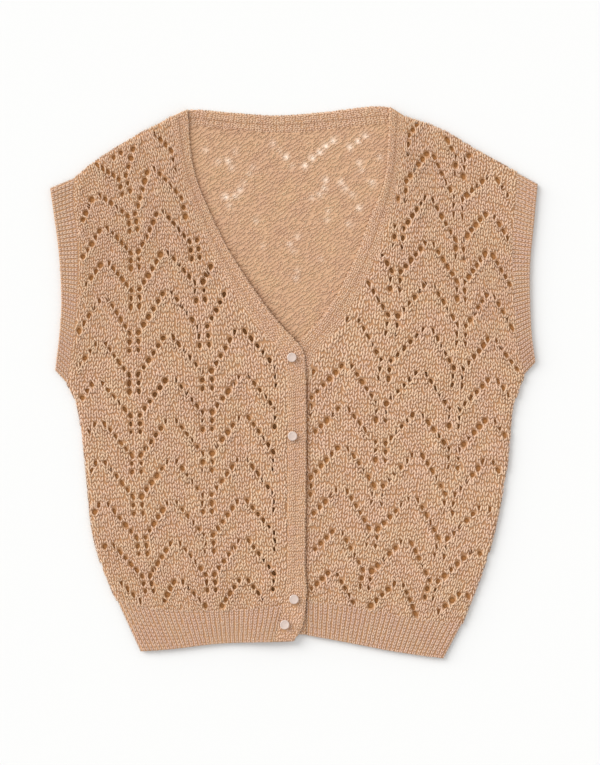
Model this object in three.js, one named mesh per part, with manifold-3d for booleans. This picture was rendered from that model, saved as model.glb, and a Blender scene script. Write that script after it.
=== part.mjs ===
// A knitted sweater vest with a button front, laid flat on a surface with its front up.
// The back lies on the surface. The two fronts lie on the back, and the right front's band lies on
// the left front's band. Chevron lace eyelets are cut through the panels, and the hem and armhole
// ribs are raised in the outer points of their walls.
// Millimetres. +Z is up from the surface, +Y points to the neck. Left and right are the wearer's,
// so the right front lies at -X. The origin is on the surface under the middle of the vest.
import * as THREE from "three";
import { mergeVertices } from "three/addons/utils/BufferGeometryUtils.js";
import Module from "manifold-3d";

const wasm = await Module();
wasm.setup();

// Driving dimensions
const WALL = 2.2; // thickness of the knitted cloth
const SEAM_GAP = 0.3; // between two pieces that are sewn edge to edge
const LAYER_GAP = 0.4; // between two layers of cloth that lie on each other
const NECKBAND_WALL = 1.9; // the back neckband is pressed flat
const BAND_RIDGE = 0.35; // the raised line along the bands
const RIDGE_SHARE = 0.45; // of a band's width, from its seam
const BAND_SECTIONS = { right: 46, left: 34, neck: 20 };
const HEM_RIB = { raised: 0.6, pitch: 4.6 };
const FLAT_RIB = { raised: 0, pitch: 28 }; // the back's hem rib is pressed flat
const ARMHOLE_RIB = { raised: 0.5, pitch: 4.2 };
// Lace chart: a chevron's eyelets go out from its middle column, in columns, and down from its apex, in
// rows of chevrons, at even steps along its two arms.
const CHEVRON = { columns: [-1, 0, 1], first: 0.072, spread: 0.363, armSteps: 5 };
const ARM_DROP = { right: 0.164, left: 0.156 }; // of each step
const EYELET = { halfWidth: 2.5, halfHeight: 3.2, sides: 4 };
const CUT_STEPS = [0, 3]; // the eyelets of each chevron arm that are cut here
const EYELET_MARGIN = 8.4; // between an eyelet's middle and the panel's edge
const FOLD_DROP = 1.5; // how far the top of the cloth rounds down where it turns to the back
const SEAM_DROP = 0.45; // and where it dips into a seam
const BAND_DROP = 1.2; // and at the free edge of a band
const RIB_DROP = 1.3; // and of a hem rib
const END_DROP = 0.6; // and at the ends of a band
const EDGE_ROUNDING = 2.4; // how wide the rounded margin of a panel or a band is
const SEAM_ROUNDING = 2.2; // and beside the seam of a rib
const TURN_STEPS = 4; // sections of an armhole rib where it turns over at its ends
const UNDER_STEPS = 12; // and along its flat underside
const MARGIN_SHARE = 0.7; // of the outline's spacing, kept clear beside the margin
const FRONT_SPACING = { outline: 11, inside: 25 }; // between the points of the fronts
const BACK_SPACING = { outline: 14, inside: 60 }; // and of the flat back
const BUTTON = { radius: 4.8, thickness: 2.4, shankRadius: 1.1, clearance: 0.3, sides: 16 };
// The outline of a button's dome, as shares of its radius and of its thickness.
const BUTTON_OUTLINE = [[0.82, 0], [0.97, 0.22], [1, 0.45], [0.93, 0.74], [0.7, 0.92], [0, 1]];
const BUTTONHOLE = { halfWidth: 1.7, halfLength: 6, below: 3.2, cutDepth: 12, steps: 10 };

const FRONT_LOW = WALL + LAYER_GAP; // underside of the fronts
// How the right band lies on the left one.
const OVERLAP = { rise: WALL + 0.35, across: 48, fullBelow: 58, fade: 90, flatBeside: 25 };

const COLOURS = { lace: 0xd3ab86, rib: 0xcfa681, band: 0xcda37f, button: 0xe3d8d6 };

// Seam and edge lines, each from few points that a smooth curve joins.
const line = (...points) => new THREE.SplineCurve(points.map(([x, y]) => new THREE.Vector2(x, y)));

const RIGHT = {
  shoulder: line([-123, 265.5], [-150.4, 250.5], [-176, 235.5], [-200.4, 219.5], [-218.6, 205]),
  armholeSeam: line([-218.6, 205], [-220, 181], [-216.2, 150], [-215, 115], [-217.3, 69], [-222, 28],
    [-226, -2]),
  armholeEdge: line([-243.9, 194.5], [-240.4, 170], [-235, 128], [-232.6, 82], [-234.6, 48], [-238.8, 12]),
  side: line([-226, -2], [-217.2, -21], [-212.5, -44], [-206, -103], [-201.5, -148], [-191, -185],
    [-177, -217.5]),
  hemSeam: line([-177, -217.5], [-142, -226.5], [-97, -228.8], [-53, -227.5], [-12, -224]),
  hemEdge: line([-153.5, -269], [-120, -266.5], [-75, -261.2], [-21, -259.3]),
  bandSeam: line([-12, -224], [-7.5, -198], [-6.2, -150], [-6.2, -60], [-7, 2], [-12, 26], [-24, 42.5],
    [-49, 72.5], [-79, 124], [-102, 176], [-116, 225], [-123, 265.5]),
};
const LEFT = {
  shoulder: line([110, 266.5], [146.7, 253], [182.4, 232], [222.5, 210]),
  armholeSeam: line([222.5, 210], [220.5, 170], [218, 130], [220, 92], [222.5, 50], [230, 7.5]),
  armholeEdge: line([243.7, 198.5], [239, 150], [236, 118], [236, 82], [237.5, 50], [241.4, 20]),
  side: line([230, 7.5], [222.7, -12], [217.5, -30], [212.6, -82], [202.6, -137], [190, -184], [168, -241]),
  hemSeam: line([12.2, -218], [60, -224.5], [120, -235.5], [168, -241]),
  hemEdge: line([12.4, -252.5], [53, -260], [100, -269], [149.5, -276]),
  bandSeam: line([12.2, -218], [12.2, -120], [12.2, -20], [14, 10], [24, 32], [46, 58.5], [74, 107],
    [92, 155], [104, 205], [110, 266.5]),
};
const RIGHT_BAND_SEAM = line([-21, -259.3], [-12, -224], [-7.5, -198], [-6.2, -150], [-6.2, -60], [-7, 2],
  [-12, 26], [-24, 42.5], [-49, 72.5], [-79, 124], [-102, 176], [-116, 225], [-123, 265.5]);
const RIGHT_BAND_EDGE = line([-1, -258.6], [8.7, -242], [12.2, -210], [10.8, -178], [11.7, -90], [11.7, -10],
  [9.8, 27.5], [1, 42], [-22, 67.5], [-61, 124.5], [-88, 178], [-102.2, 221], [-106.5, 272.9]);
const LEFT_BAND_SEAM = line([11.7, -252], [11.9, -218], [12.2, -120], [12.2, -20], [14, 10], [24, 32],
  [46, 58.5], [74, 107], [92, 155], [104, 205], [110, 266.5]);
const LEFT_BAND_EDGE = line([-5, -252], [-5, -218], [-5, -120], [-5, -20], [-4, 14], [6, 40.5], [30.6, 67.5],
  [57, 114], [77, 166], [92, 206], [95.8, 275.6]);
const NECKBAND_EDGE = line([-121.5, 265.8], [-103, 272.6], [-63, 269.5], [-17, 266.8], [29, 270], [88, 276],
  [109, 266.5]);
const NECKBAND_SEAM = line([-128, 257], [-101, 256.8], [-40, 251], [0, 250], [44, 254.5], [90, 259],
  [117, 260]);
const BACK_SHOULDERS = {
  right: line([-128, 257], [-150.4, 250.5], [-176, 235.5], [-200.4, 219.5], [-218.6, 205]),
  left: line([117, 260], [146.7, 253], [182.4, 232], [222.5, 210]),
};
const BACK_HEM_SEAM = line([-177, -217.5], [-100, -230], [0, -223], [100, -232], [168, -241]);
const BACK_HEM_EDGE = line([-153, -266], [-75, -258.5], [0, -249.5], [70, -260], [148.5, -273.5]);

// Chevron rows of each front from the hem up: the apex height on the middle column, how much lower
// the apex is one column out, and where the apex of each column lies across. The lowest row is below
// the first chevrons and only says how the stitches narrow towards the hem.
const RIGHT_CHEVRONS = [
  { y: -236, tilt: 0.9, outer: -165.2, middle: -107.5, inner: -49.1 },
  { y: -199.6, tilt: 1.3, outer: -176.5, middle: -115.4, inner: -50.1 },
  { y: -161.1, tilt: 2.6, outer: -184.4, middle: -118.7, inner: -50.2 },
  { y: -120.7, tilt: 1.7, outer: -190.3, middle: -121.6, inner: -51.5 },
  { y: -79.2, tilt: 1.6, outer: -193.2, middle: -121.9, inner: -51.4 },
  { y: -38.8, tilt: 3.1, outer: -194.2, middle: -122.6, inner: -50.4 },
  { y: 2, tilt: 3.4, outer: -196.3, middle: -123.4, inner: -50.2 },
  { y: 44.6, tilt: 5.9, outer: -193.1, middle: -125.7, inner: -54.3 },
  { y: 89, tilt: 7.1, outer: -190.2, middle: -126.6, inner: -61.5 },
  { y: 128.6, tilt: 10.6, outer: -189.2, middle: -129.2, inner: -69.9 },
  { y: 169, tilt: 16.5, outer: -190.2, middle: -133.7, inner: -82 },
  { y: 211.8, tilt: 27, outer: -198.1, middle: -143.2, inner: -93.7 },
];
const LEFT_CHEVRONS = [
  { y: -242.3, tilt: 12.3, outer: 152.9, middle: 96, inner: 34.4 },
  { y: -202.1, tilt: 10.6, outer: 169.3, middle: 104.8, inner: 38.6 },
  { y: -160.2, tilt: 10.2, outer: 181.2, middle: 112.6, inner: 43.3 },
  { y: -117.1, tilt: 9, outer: 190.3, middle: 119.1, inner: 47.8 },
  { y: -73.1, tilt: 6.9, outer: 194.5, middle: 123.5, inner: 48.9 },
  { y: -32.8, tilt: 5.9, outer: 195.8, middle: 123.8, inner: 49.7 },
  { y: 8.7, tilt: 7.2, outer: 199.1, middle: 127.2, inner: 53.1 },
  { y: 52.2, tilt: 9.9, outer: 198.2, middle: 133.9, inner: 59.4 },
  { y: 96.6, tilt: 10.3, outer: 196.3, middle: 135.3, inner: 65 },
  { y: 138.6, tilt: 11.4, outer: 195, middle: 135.5, inner: 72.6 },
  { y: 183.4, tilt: 17.1, outer: 195.9, middle: 134.8, inner: 84.4 },
  { y: 226.8, tilt: 23.4, outer: 198.7, middle: 136.4, inner: 90.3 },
];
// The back's eyelets that stand open in the neck.
const NECK_EYELETS = [
  [39, 241.4], [32, 236.4], [25.6, 230.2], [18.8, 224.4], [11, 217], [56, 235.4], [64, 241.2], [-8, 225.4],
  [-66, 221.4], [-54, 192.4], [-68, 185.4], [32, 202.4], [47, 200.4], [53, 193], [78, 200.4], [65, 174.4],
];

// The largest soft folds of the fronts: ridges that run from one place to another.
const FOLDS = [
  { from: [-196, 22], to: [-92, -30], height: 1.1, width: 15 },
  { from: [-190, -8], to: [-118, -84], height: 0.8, width: 12 },
  { from: [200, 30], to: [96, -24], height: 1.1, width: 15 },
  { from: [192, 0], to: [124, -92], height: 0.8, width: 12 },
  { from: [-150, 214], to: [-82, 92], height: 0.7, width: 16 },
  { from: [150, 216], to: [80, 90], height: 0.8, width: 16 },
];
const BUST = { x: 108, y: 40, halfWidth: 86, halfHeight: 150, height: 1.0 };
// The cloth that swells over the hem rib, between the bands and the sides.
const BLOUSING = { above: 20, width: 15, height: 0.8, ripple: 27, from: 14, fade: 25, to: 165 };

const BUTTON_PLACES = [
  { name: "button_1", x: -2.2, y: 25 },
  { name: "button_2", x: -1.5, y: -53.5 },
  { name: "button_3", x: 0, y: -216.3 },
  { name: "button_4", x: -9.3, y: -241.6 },
];

const smooth = (t) => { const k = Math.min(Math.max(t, 0), 1); return k * k * (3 - 2 * k); };
const mix = (a, b, t) => a + (b - a) * t;

// A line's x at height y, for lines that climb steadily.
function xAt(points, y) {
  const k = points.findIndex((p, i) => i > 0 && p.y >= y);
  if (k < 0) return points.at(-1).x;
  const [a, b] = [points[k - 1], points[k]];
  return mix(a.x, b.x, (y - a.y) / (b.y - a.y || 1));
}
const RIGHT_SEAM_POINTS = RIGHT_BAND_SEAM.getPoints(120);

// How far the cloth of a front is lifted off the cloth below it.
function lift(x, y) {
  let z = 0;
  for (const { from, to, height, width } of FOLDS) {
    const [dx, dy] = [to[0] - from[0], to[1] - from[1]];
    const t = ((x - from[0]) * dx + (y - from[1]) * dy) / (dx * dx + dy * dy);
    const away = Math.hypot(x - from[0] - t * dx, y - from[1] - t * dy);
    z += height * Math.exp(-((away / width) ** 2)) * smooth(t * 3) * smooth((1 - t) * 3);
  }
  const bust = Math.hypot((Math.abs(x) - BUST.x) / BUST.halfWidth, (y - BUST.y) / BUST.halfHeight);
  z += BUST.height * smooth(1 - bust);
  const overHem = (y - hemHeight(x) - BLOUSING.above) / BLOUSING.width;
  const across = Math.abs(x);
  const fromSide = smooth((BLOUSING.to - across) / BLOUSING.fade);
  const ends = fromSide * smooth((across - BLOUSING.from) / BLOUSING.fade);
  const ripple = 0.6 + 0.4 * Math.cos((2 * Math.PI * x) / BLOUSING.ripple);
  return z + BLOUSING.height * Math.exp(-(overHem ** 2)) * ends * ripple;
}
// Height of the hem seam at x, near enough for the blousing.
const hemHeight = (x) => (x < 0 ? -228 + 10 * smooth((-x - 130) / 45) : -218 - 23 * smooth(x / 168));

// How far the right front rises to lie on the left front's band.
function rise(x, y) {
  const nearSeam = 1 - smooth((xAt(RIGHT_SEAM_POINTS, y) - x) / OVERLAP.across);
  return OVERLAP.rise * nearSeam * (1 - smooth((y - OVERLAP.fullBelow) / OVERLAP.fade));
}
function rightLow(x, y) {
  const lifted = smooth((xAt(RIGHT_SEAM_POINTS, y) - x) / OVERLAP.flatBeside);
  return FRONT_LOW + lift(x, y) * lifted + rise(x, y);
}
const leftLow = (x, y) => FRONT_LOW + lift(x, y);
const backLow = () => 0;

// A closed mesh, turned round if its faces point inwards.
function solid(vertices, triangles) {
  let volume = 0;
  for (const t of triangles) {
    const [a, b, c] = t.map((i) => vertices[i]);
    volume += a.dot(b.clone().cross(c));
  }
  const order = volume < 0 ? triangles.map(([a, b, c]) => [a, c, b]) : triangles;
  const geometry = new THREE.BufferGeometry().setFromPoints(vertices);
  geometry.setIndex(order.flat());
  geometry.computeVertexNormals();
  return geometry;
}

// A strip of cloth through sections. Each has its upper points from one edge to the other, and as
// many lower points. A closed strip is a ring, and an open one gets its two end faces.
function strip(sections, closed = false) {
  const across = sections[0].upper.length;
  const vertices = sections.flatMap(({ upper, lower }) => [...upper, ...lower]);
  const at = (section, side, i) => (section % sections.length) * across * 2 + side * across + i;
  const triangles = [];
  const quad = (a, b, c, d) => triangles.push([a, b, c], [a, c, d]);
  const last = closed ? sections.length : sections.length - 1;
  for (let s = 0; s < last; s++) {
    for (let i = 0; i < across - 1; i++) {
      quad(at(s, 0, i), at(s, 0, i + 1), at(s + 1, 0, i + 1), at(s + 1, 0, i));
      quad(at(s, 1, i + 1), at(s, 1, i), at(s + 1, 1, i), at(s + 1, 1, i + 1));
    }
    quad(at(s, 1, 0), at(s, 0, 0), at(s + 1, 0, 0), at(s + 1, 1, 0));
    quad(at(s, 0, across - 1), at(s, 1, across - 1), at(s + 1, 1, across - 1), at(s + 1, 0, across - 1));
  }
  for (let i = 0; i < across - 1 && !closed; i++) {
    quad(at(0, 0, i + 1), at(0, 0, i), at(0, 1, i), at(0, 1, i + 1));
    quad(at(last, 0, i), at(last, 0, i + 1), at(last, 1, i + 1), at(last, 1, i));
  }
  return solid(vertices, triangles);
}

// The points of an outline moved inwards, for an outline that runs counter-clockwise.
function inset(points, distance) {
  return points.map((p, i) => {
    const before = points.at(i - 1);
    const after = points[(i + 1) % points.length];
    const [a, b] = [p.clone().sub(before).normalize(), after.clone().sub(p).normalize()];
    const normal = new THREE.Vector2(-a.y - b.y, a.x + b.x).normalize();
    const corner = Math.max(normal.dot(new THREE.Vector2(-a.y, a.x)), 0.5);
    return p.clone().addScaledVector(normal, distance / corner);
  });
}

function insidePolygon(p, polygon) {
  let inside = false;
  polygon.forEach((a, i) => {
    const b = polygon.at(i - 1);
    if (a.y > p.y !== b.y > p.y && p.x < mix(a.x, b.x, (p.y - a.y) / (b.y - a.y))) inside = !inside;
  });
  return inside;
}

function distanceToPolygon(p, polygon) {
  return Math.min(...polygon.map((a, i) => {
    const b = polygon.at(i - 1);
    const along = b.clone().sub(a);
    const t = Math.min(Math.max(p.clone().sub(a).dot(along) / along.lengthSq(), 0), 1);
    return p.distanceTo(a.clone().addScaledVector(along, t));
  }));
}

function insideBy(outline, margin) {
  return (p) => insidePolygon(p, outline) && distanceToPolygon(p, outline) > margin;
}

// Delaunay triangles of flat points, adding one point at a time. The tests use points moved by up to
// 0.001 mm, because four points on one circle would have two answers.
function delaunay(points) {
  const FAR = 1e4;
  const moved = points.map((p, i) => [p.x + 1e-3 * Math.sin(i * 12.9), p.y + 1e-3 * Math.sin(i * 78.2)]);
  const all = [...moved, [-FAR, -FAR], [FAR, -FAR], [0, FAR]];
  const circled = (a, b, c) => {
    const [[ax, ay], [bx, by], [cx, cy]] = [all[a], all[b], all[c]];
    const d = 2 * (ax * (by - cy) + bx * (cy - ay) + cx * (ay - by));
    const [aa, bb, cc] = [ax * ax + ay * ay, bx * bx + by * by, cx * cx + cy * cy];
    const x = (aa * (by - cy) + bb * (cy - ay) + cc * (ay - by)) / d;
    const y = (aa * (cx - bx) + bb * (ax - cx) + cc * (bx - ax)) / d;
    return { corners: [a, b, c], x, y, radius: Math.hypot(ax - x, ay - y) };
  };
  const n = points.length;
  let triangles = [circled(n, n + 1, n + 2)];
  for (let i = 0; i < n; i++) {
    const [px, py] = all[i];
    const hit = (t) => Math.hypot(px - t.x, py - t.y) < t.radius;
    const rim = new Map();
    for (const { corners } of triangles.filter(hit))
      for (let k = 0; k < 3; k++) {
        const [a, b] = [corners[k], corners[(k + 1) % 3]];
        if (!rim.delete(`${b},${a}`)) rim.set(`${a},${b}`, [a, b]);
      }
    triangles = triangles.filter((t) => !hit(t));
    for (const [a, b] of rim.values()) triangles.push(circled(a, b, i));
  }
  return triangles.map((t) => t.corners).filter((t) => t.every((i) => i < n));
}

// A panel of cloth inside an outline of stretches. A stretch that is a fold rounds down further than
// one that is a seam. The eyelets are cut through, and low(x, y) is the height of the underside.
function panel(stretches, eyelets, low, spacing) {
  const edge = stretches.flatMap(({ points, drop }) => points.slice(0, -1).map((p) => ({ p, drop })));
  const rim = edge.map(({ p }) => p);
  const outer = inset(rim, SEAM_GAP / 2);
  const inner = inset(rim, EDGE_ROUNDING);
  const holes = eyelets.map(({ x, y }) => Array.from({ length: EYELET.sides }, (_, i) => {
    const turn = (2 * Math.PI * i) / EYELET.sides;
    return new THREE.Vector2(x + EYELET.halfWidth * Math.cos(turn), y + EYELET.halfHeight * Math.sin(turn));
  }));
  const between = [];
  const box = new THREE.Box2().setFromPoints(rim);
  for (let y = box.min.y; y < box.max.y; y += spacing.inside)
    for (let x = box.min.x; x < box.max.x; x += spacing.inside) {
      const p = new THREE.Vector2(x, y);
      const clear = eyelets.every((e) => Math.hypot(e.x - x, e.y - y) > spacing.inside / 2);
      if (clear && insideBy(inner, spacing.outline * MARGIN_SHARE)(p)) between.push(p);
    }
  const flat = [...inner, ...holes.flat(), ...between];
  const owner = (i) => (i < inner.length ? -1 : Math.floor((i - inner.length) / EYELET.sides));
  const isHole = ([a, b, c]) => {
    const hole = owner(a);
    return hole >= 0 && hole < holes.length && owner(b) === hole && owner(c) === hole;
  };
  const centre = (t) => t.reduce((sum, i) => sum.add(flat[i]), new THREE.Vector2()).divideScalar(3);
  const faces = delaunay(flat).filter((t) => !isHole(t) && insidePolygon(centre(t), inner));

  const upper = (p, drop) => new THREE.Vector3(p.x, p.y, low(p.x, p.y) + WALL - drop);
  const lower = (p) => new THREE.Vector3(p.x, p.y, low(p.x, p.y));
  const n = rim.length;
  const count = flat.length;
  const vertices = [
    ...flat.map((p) => upper(p, 0)),
    ...flat.map(lower),
    ...outer.map((p, i) => upper(p, edge[i].drop)),
    ...outer.map(lower),
  ];
  const triangles = [];
  for (const [a, b, c] of faces) {
    const turned = flat[b].clone().sub(flat[a]).cross(flat[c].clone().sub(flat[a])) < 0;
    const [p, q, r] = turned ? [a, c, b] : [a, b, c];
    triangles.push([p, q, r], [count + p, count + r, count + q]);
  }
  const band = (from, to) => {
    for (let i = 0; i < n; i++) {
      const j = (i + 1) % n;
      triangles.push([from + i, to + i, to + j], [from + i, to + j, from + j]);
    }
  };
  const [top, bottom] = [2 * count, 2 * count + n];
  band(0, top);
  band(top, bottom);
  band(bottom, count);
  holes.forEach((_, h) => {
    for (let i = 0; i < EYELET.sides; i++) {
      const start = n + h * EYELET.sides;
      const [a, b] = [start + i, start + ((i + 1) % EYELET.sides)];
      triangles.push([a, b, count + b], [a, count + b, count + a]);
    }
  });
  return solid(vertices, triangles);
}

// A place in a front's chart: column 0 is the middle column and 1 the outer one, row 0 the lowest apexes.
function chartPlace(rows, column, row) {
  const k = Math.min(Math.max(Math.floor(row + 1), 0), rows.length - 2);
  const [a, b, t] = [rows[k], rows[k + 1], row + 1 - k];
  const across = ({ inner, middle, outer }) => mix(middle, column < 0 ? inner : outer, Math.abs(column));
  return new THREE.Vector2(
    mix(across(a), across(b), t),
    mix(a.y, b.y, t) - mix(a.tilt, b.tilt, t) * column,
  );
}

// The eyelets of both arms of each chevron of a front.
function chartEyelets(rows, drop) {
  const found = [];
  for (let row = 0; row <= rows.length; row++)
    for (const column of CHEVRON.columns)
      for (const step of CUT_STEPS)
        for (const arm of [-1, 1]) {
          const out = CHEVRON.first + (CHEVRON.spread * step) / CHEVRON.armSteps;
          found.push(chartPlace(rows, column + arm * out, row - drop * step));
        }
  return found;
}

// A line's points, evenly spaced, in its own direction or reversed.
function stretch(curve, drop, spacing, reversed) {
  const points = curve.getSpacedPoints(Math.max(2, Math.round(curve.getLength() / spacing.outline)));
  return { points: reversed ? points.reverse() : points, drop };
}
const fold = (curve, spacing, reversed = false) => stretch(curve, FOLD_DROP, spacing, reversed);
const seam = (curve, spacing, reversed = false) => stretch(curve, SEAM_DROP, spacing, reversed);

function rightFrontPanel() {
  const spacing = FRONT_SPACING;
  const stretches = [
    seam(RIGHT.hemSeam, spacing),
    seam(RIGHT.bandSeam, spacing),
    fold(RIGHT.shoulder, spacing),
    seam(RIGHT.armholeSeam, spacing),
    fold(RIGHT.side, spacing),
  ];
  const outline = stretches.flatMap((s) => s.points.slice(0, -1));
  const eyelets = chartEyelets(RIGHT_CHEVRONS, ARM_DROP.right).filter(insideBy(outline, EYELET_MARGIN));
  return panel(stretches, eyelets, rightLow, spacing);
}

function leftFrontPanel() {
  const spacing = FRONT_SPACING;
  const stretches = [
    seam(LEFT.hemSeam, spacing),
    fold(LEFT.side, spacing, true),
    seam(LEFT.armholeSeam, spacing, true),
    fold(LEFT.shoulder, spacing, true),
    seam(LEFT.bandSeam, spacing, true),
  ];
  const outline = stretches.flatMap((s) => s.points.slice(0, -1));
  const eyelets = chartEyelets(LEFT_CHEVRONS, ARM_DROP.left).filter(insideBy(outline, EYELET_MARGIN));
  return panel(stretches, eyelets, leftLow, spacing);
}

function backPanel() {
  const spacing = BACK_SPACING;
  const stretches = [
    seam(BACK_HEM_SEAM, spacing),
    fold(LEFT.side, spacing, true),
    seam(LEFT.armholeSeam, spacing, true),
    fold(BACK_SHOULDERS.left, spacing, true),
    seam(NECKBAND_SEAM, spacing, true),
    fold(BACK_SHOULDERS.right, spacing),
    seam(RIGHT.armholeSeam, spacing),
    fold(RIGHT.side, spacing),
  ];
  const eyelets = NECK_EYELETS.map(([x, y]) => new THREE.Vector2(x, y));
  return panel(stretches, eyelets, backLow, spacing);
}

// A ribbed band between a seam line and a free edge, with its ribs raised in the outer points.
function ribbedHem(seamLine, edgeLine, low, rib, ends) {
  const ribs = Math.round(edgeLine.getLength() / rib.pitch);
  const sections = [];
  for (let i = 0; i <= ribs * 2; i++) {
    const t = mix(ends.start, 1 - ends.end, i / (ribs * 2));
    const [a, b] = [seamLine.getPointAt(t), edgeLine.getPointAt(t)];
    const crest = i % 2 ? rib.raised : 0;
    const rounding = i === 0 || i === ribs * 2 ? FOLD_DROP / 2 : 0;
    const long = a.distanceTo(b);
    const at = (from, z) => {
      const p = a.clone().lerp(b, from / long);
      return new THREE.Vector3(p.x, p.y, z(p));
    };
    const under = (p) => low(p.x, p.y);
    const raised = (drop) => (p) => under(p) + WALL + crest - drop - rounding;
    const places = [SEAM_GAP, SEAM_ROUNDING, long - EDGE_ROUNDING, long];
    const drops = [SEAM_DROP + crest, 0, 0, RIB_DROP];
    sections.push({
      upper: places.map((from, k) => at(from, raised(drops[k]))),
      lower: places.map((from) => at(from, under)),
    });
  }
  return strip(sections);
}

// The armhole rib: a ring pressed flat, that turns over at the shoulder and under the arm.
function armholeRib(seamLine, edgeLine) {
  const outwardsAt = (t) => {
    const across = edgeLine.getPointAt(t).sub(seamLine.getPointAt(t));
    const normal = new THREE.Vector2(-across.y, across.x).normalize();
    return normal.dot(seamLine.getPointAt(t).sub(seamLine.getPointAt(0.5))) < 0 ? normal.negate() : normal;
  };
  const [shoulderOut, underarmOut] = [outwardsAt(0), outwardsAt(1)];
  const ribs = Math.round(seamLine.getLength() / ARMHOLE_RIB.pitch);
  const top = FRONT_LOW + WALL;
  const middle = top / 2;
  const turnRadius = middle + LAYER_GAP / 2;
  const ends = { start: turnRadius / seamLine.getLength(), end: 1 - turnRadius / seamLine.getLength() };
  const section = (t, outwards, outerZ, innerZ, outerOut, innerOut) => {
    const along = mix(ends.start, ends.end, t);
    const [a, b] = [seamLine.getPointAt(along), edgeLine.getPointAt(along)];
    const long = a.distanceTo(b);
    const at = (from, z, out) => {
      const p = a.clone().lerp(b, from / long).addScaledVector(outwards, out);
      return new THREE.Vector3(p.x, p.y, z);
    };
    const edgeZ = mix(outerZ, innerZ, 0.5);
    const rounded = long - EDGE_ROUNDING;
    const edgeTop = at(long, edgeZ, mix(outerOut, innerOut, 0.5));
    const edgeUnder = at(long, mix(edgeZ, innerZ, 0.9), innerOut);
    return {
      upper: [at(SEAM_GAP, outerZ, outerOut), at(rounded, outerZ, outerOut), edgeTop],
      lower: [at(SEAM_GAP, innerZ, innerOut), at(rounded, innerZ, innerOut), edgeUnder],
    };
  };
  const still = new THREE.Vector2();
  const halfGap = LAYER_GAP / 2;
  const turn = (t, outwards, from, to) => Array.from({ length: TURN_STEPS - 1 }, (_, i) => {
    const angle = mix(from, to, (i + 1) / TURN_STEPS);
    const [up, out] = [Math.cos(angle), Math.sin(angle)];
    return section(t, outwards, middle + middle * up, middle + halfGap * up, turnRadius * out, halfGap * out);
  });
  const sections = [];
  for (let i = 0; i <= ribs * 2; i++)
    sections.push(section(i / (ribs * 2), still, top + (i % 2 ? ARMHOLE_RIB.raised : 0), FRONT_LOW, 0, 0));
  sections.push(...turn(1, underarmOut, 0, Math.PI));
  for (let i = 0; i <= UNDER_STEPS; i++) sections.push(section(1 - i / UNDER_STEPS, still, 0, WALL, 0, 0));
  sections.push(...turn(0, shoulderOut, Math.PI, 0));
  return strip(sections, true);
}

// A smooth band between its seam and its free edge, with a raised line along it.
function edgeBand(seamLine, edgeLine, low, wall, ridge, sectionCount) {
  const sections = [];
  for (let i = 0; i <= sectionCount; i++) {
    const t = i / sectionCount;
    const [a, b] = [seamLine.getPointAt(t), edgeLine.getPointAt(t)];
    const long = a.distanceTo(b);
    const end = i === 0 || i === sectionCount ? END_DROP : 0;
    const at = (from, z) => {
      const p = a.clone().lerp(b, from / long);
      return new THREE.Vector3(p.x, p.y, low(p.x, p.y) + Math.max(z - (z > 0 ? end : 0), 0));
    };
    const places = [SEAM_GAP, EDGE_ROUNDING, long * RIDGE_SHARE, long - EDGE_ROUNDING, long];
    const heights = [wall - SEAM_DROP, wall, wall + ridge, wall, wall - BAND_DROP];
    sections.push({
      upper: places.map((from, k) => at(from, heights[k])),
      lower: places.map((from) => at(from, 0)),
    });
  }
  return strip(sections);
}

const manifoldOf = (geometry) => {
  const merged = mergeVertices(new THREE.BufferGeometry()
    .setAttribute("position", geometry.getAttribute("position"))
    .setIndex(geometry.getIndex()));
  return new wasm.Manifold(new wasm.Mesh({
    numProp: 3,
    vertProperties: new Float32Array(merged.attributes.position.array),
    triVerts: new Uint32Array(merged.index.array),
  }));
};

const geometryOf = (manifold) => {
  const { vertProperties, triVerts } = manifold.getMesh();
  const geometry = new THREE.BufferGeometry();
  geometry.setAttribute("position", new THREE.BufferAttribute(new Float32Array(vertProperties), 3));
  geometry.setIndex(new THREE.BufferAttribute(new Uint32Array(triVerts), 1));
  geometry.computeVertexNormals();
  return geometry;
};

// The right front's band lies on top and has the buttonholes, upright slits that the shanks hold open.
function rightFrontBand() {
  const band = edgeBand(RIGHT_BAND_SEAM, RIGHT_BAND_EDGE, rightLow, WALL, BAND_RIDGE, BAND_SECTIONS.right);
  const { halfWidth, halfLength } = BUTTONHOLE;
  const slit = new THREE.Shape().absellipse(0, 0, halfWidth, halfLength, 0, 2 * Math.PI);
  return geometryOf(BUTTON_PLACES.reduce((cut, { x, y }) => {
    const cutter = new THREE.ExtrudeGeometry(slit, {
      depth: BUTTONHOLE.cutDepth, bevelEnabled: false, curveSegments: BUTTONHOLE.steps,
    });
    cutter.deleteAttribute("normal");
    cutter.deleteAttribute("uv");
    cutter.translate(x, y - BUTTONHOLE.below, 0);
    return cut.subtract(manifoldOf(mergeVertices(cutter)));
  }, manifoldOf(band)));
}

// The left front's band lies under it and carries the buttons.
function leftFrontBand() {
  return edgeBand(LEFT_BAND_SEAM, LEFT_BAND_EDGE, leftLow, WALL, 0, BAND_SECTIONS.left);
}

function backNeckband() {
  return edgeBand(NECKBAND_SEAM, NECKBAND_EDGE, backLow, NECKBAND_WALL, BAND_RIDGE, BAND_SECTIONS.neck);
}

// A small pearly button, a low dome on a thread shank that goes through the buttonhole.
function button() {
  const bandTop = OVERLAP.rise + WALL + BAND_RIDGE; // above the fronts' underside
  const shankFoot = WALL + BUTTON.clearance;
  const base = bandTop + BUTTON.clearance;
  const { radius, thickness, shankRadius, sides } = BUTTON;
  const dome = BUTTON_OUTLINE.map(([out, up]) => [radius * out, base + thickness * up]);
  const profile = [[0, shankFoot], [shankRadius, shankFoot], [shankRadius, base], ...dome];
  const points = profile.map(([x, y]) => new THREE.Vector2(x, y));
  return new THREE.LatheGeometry(points, sides).rotateX(Math.PI / 2);
}

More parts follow.
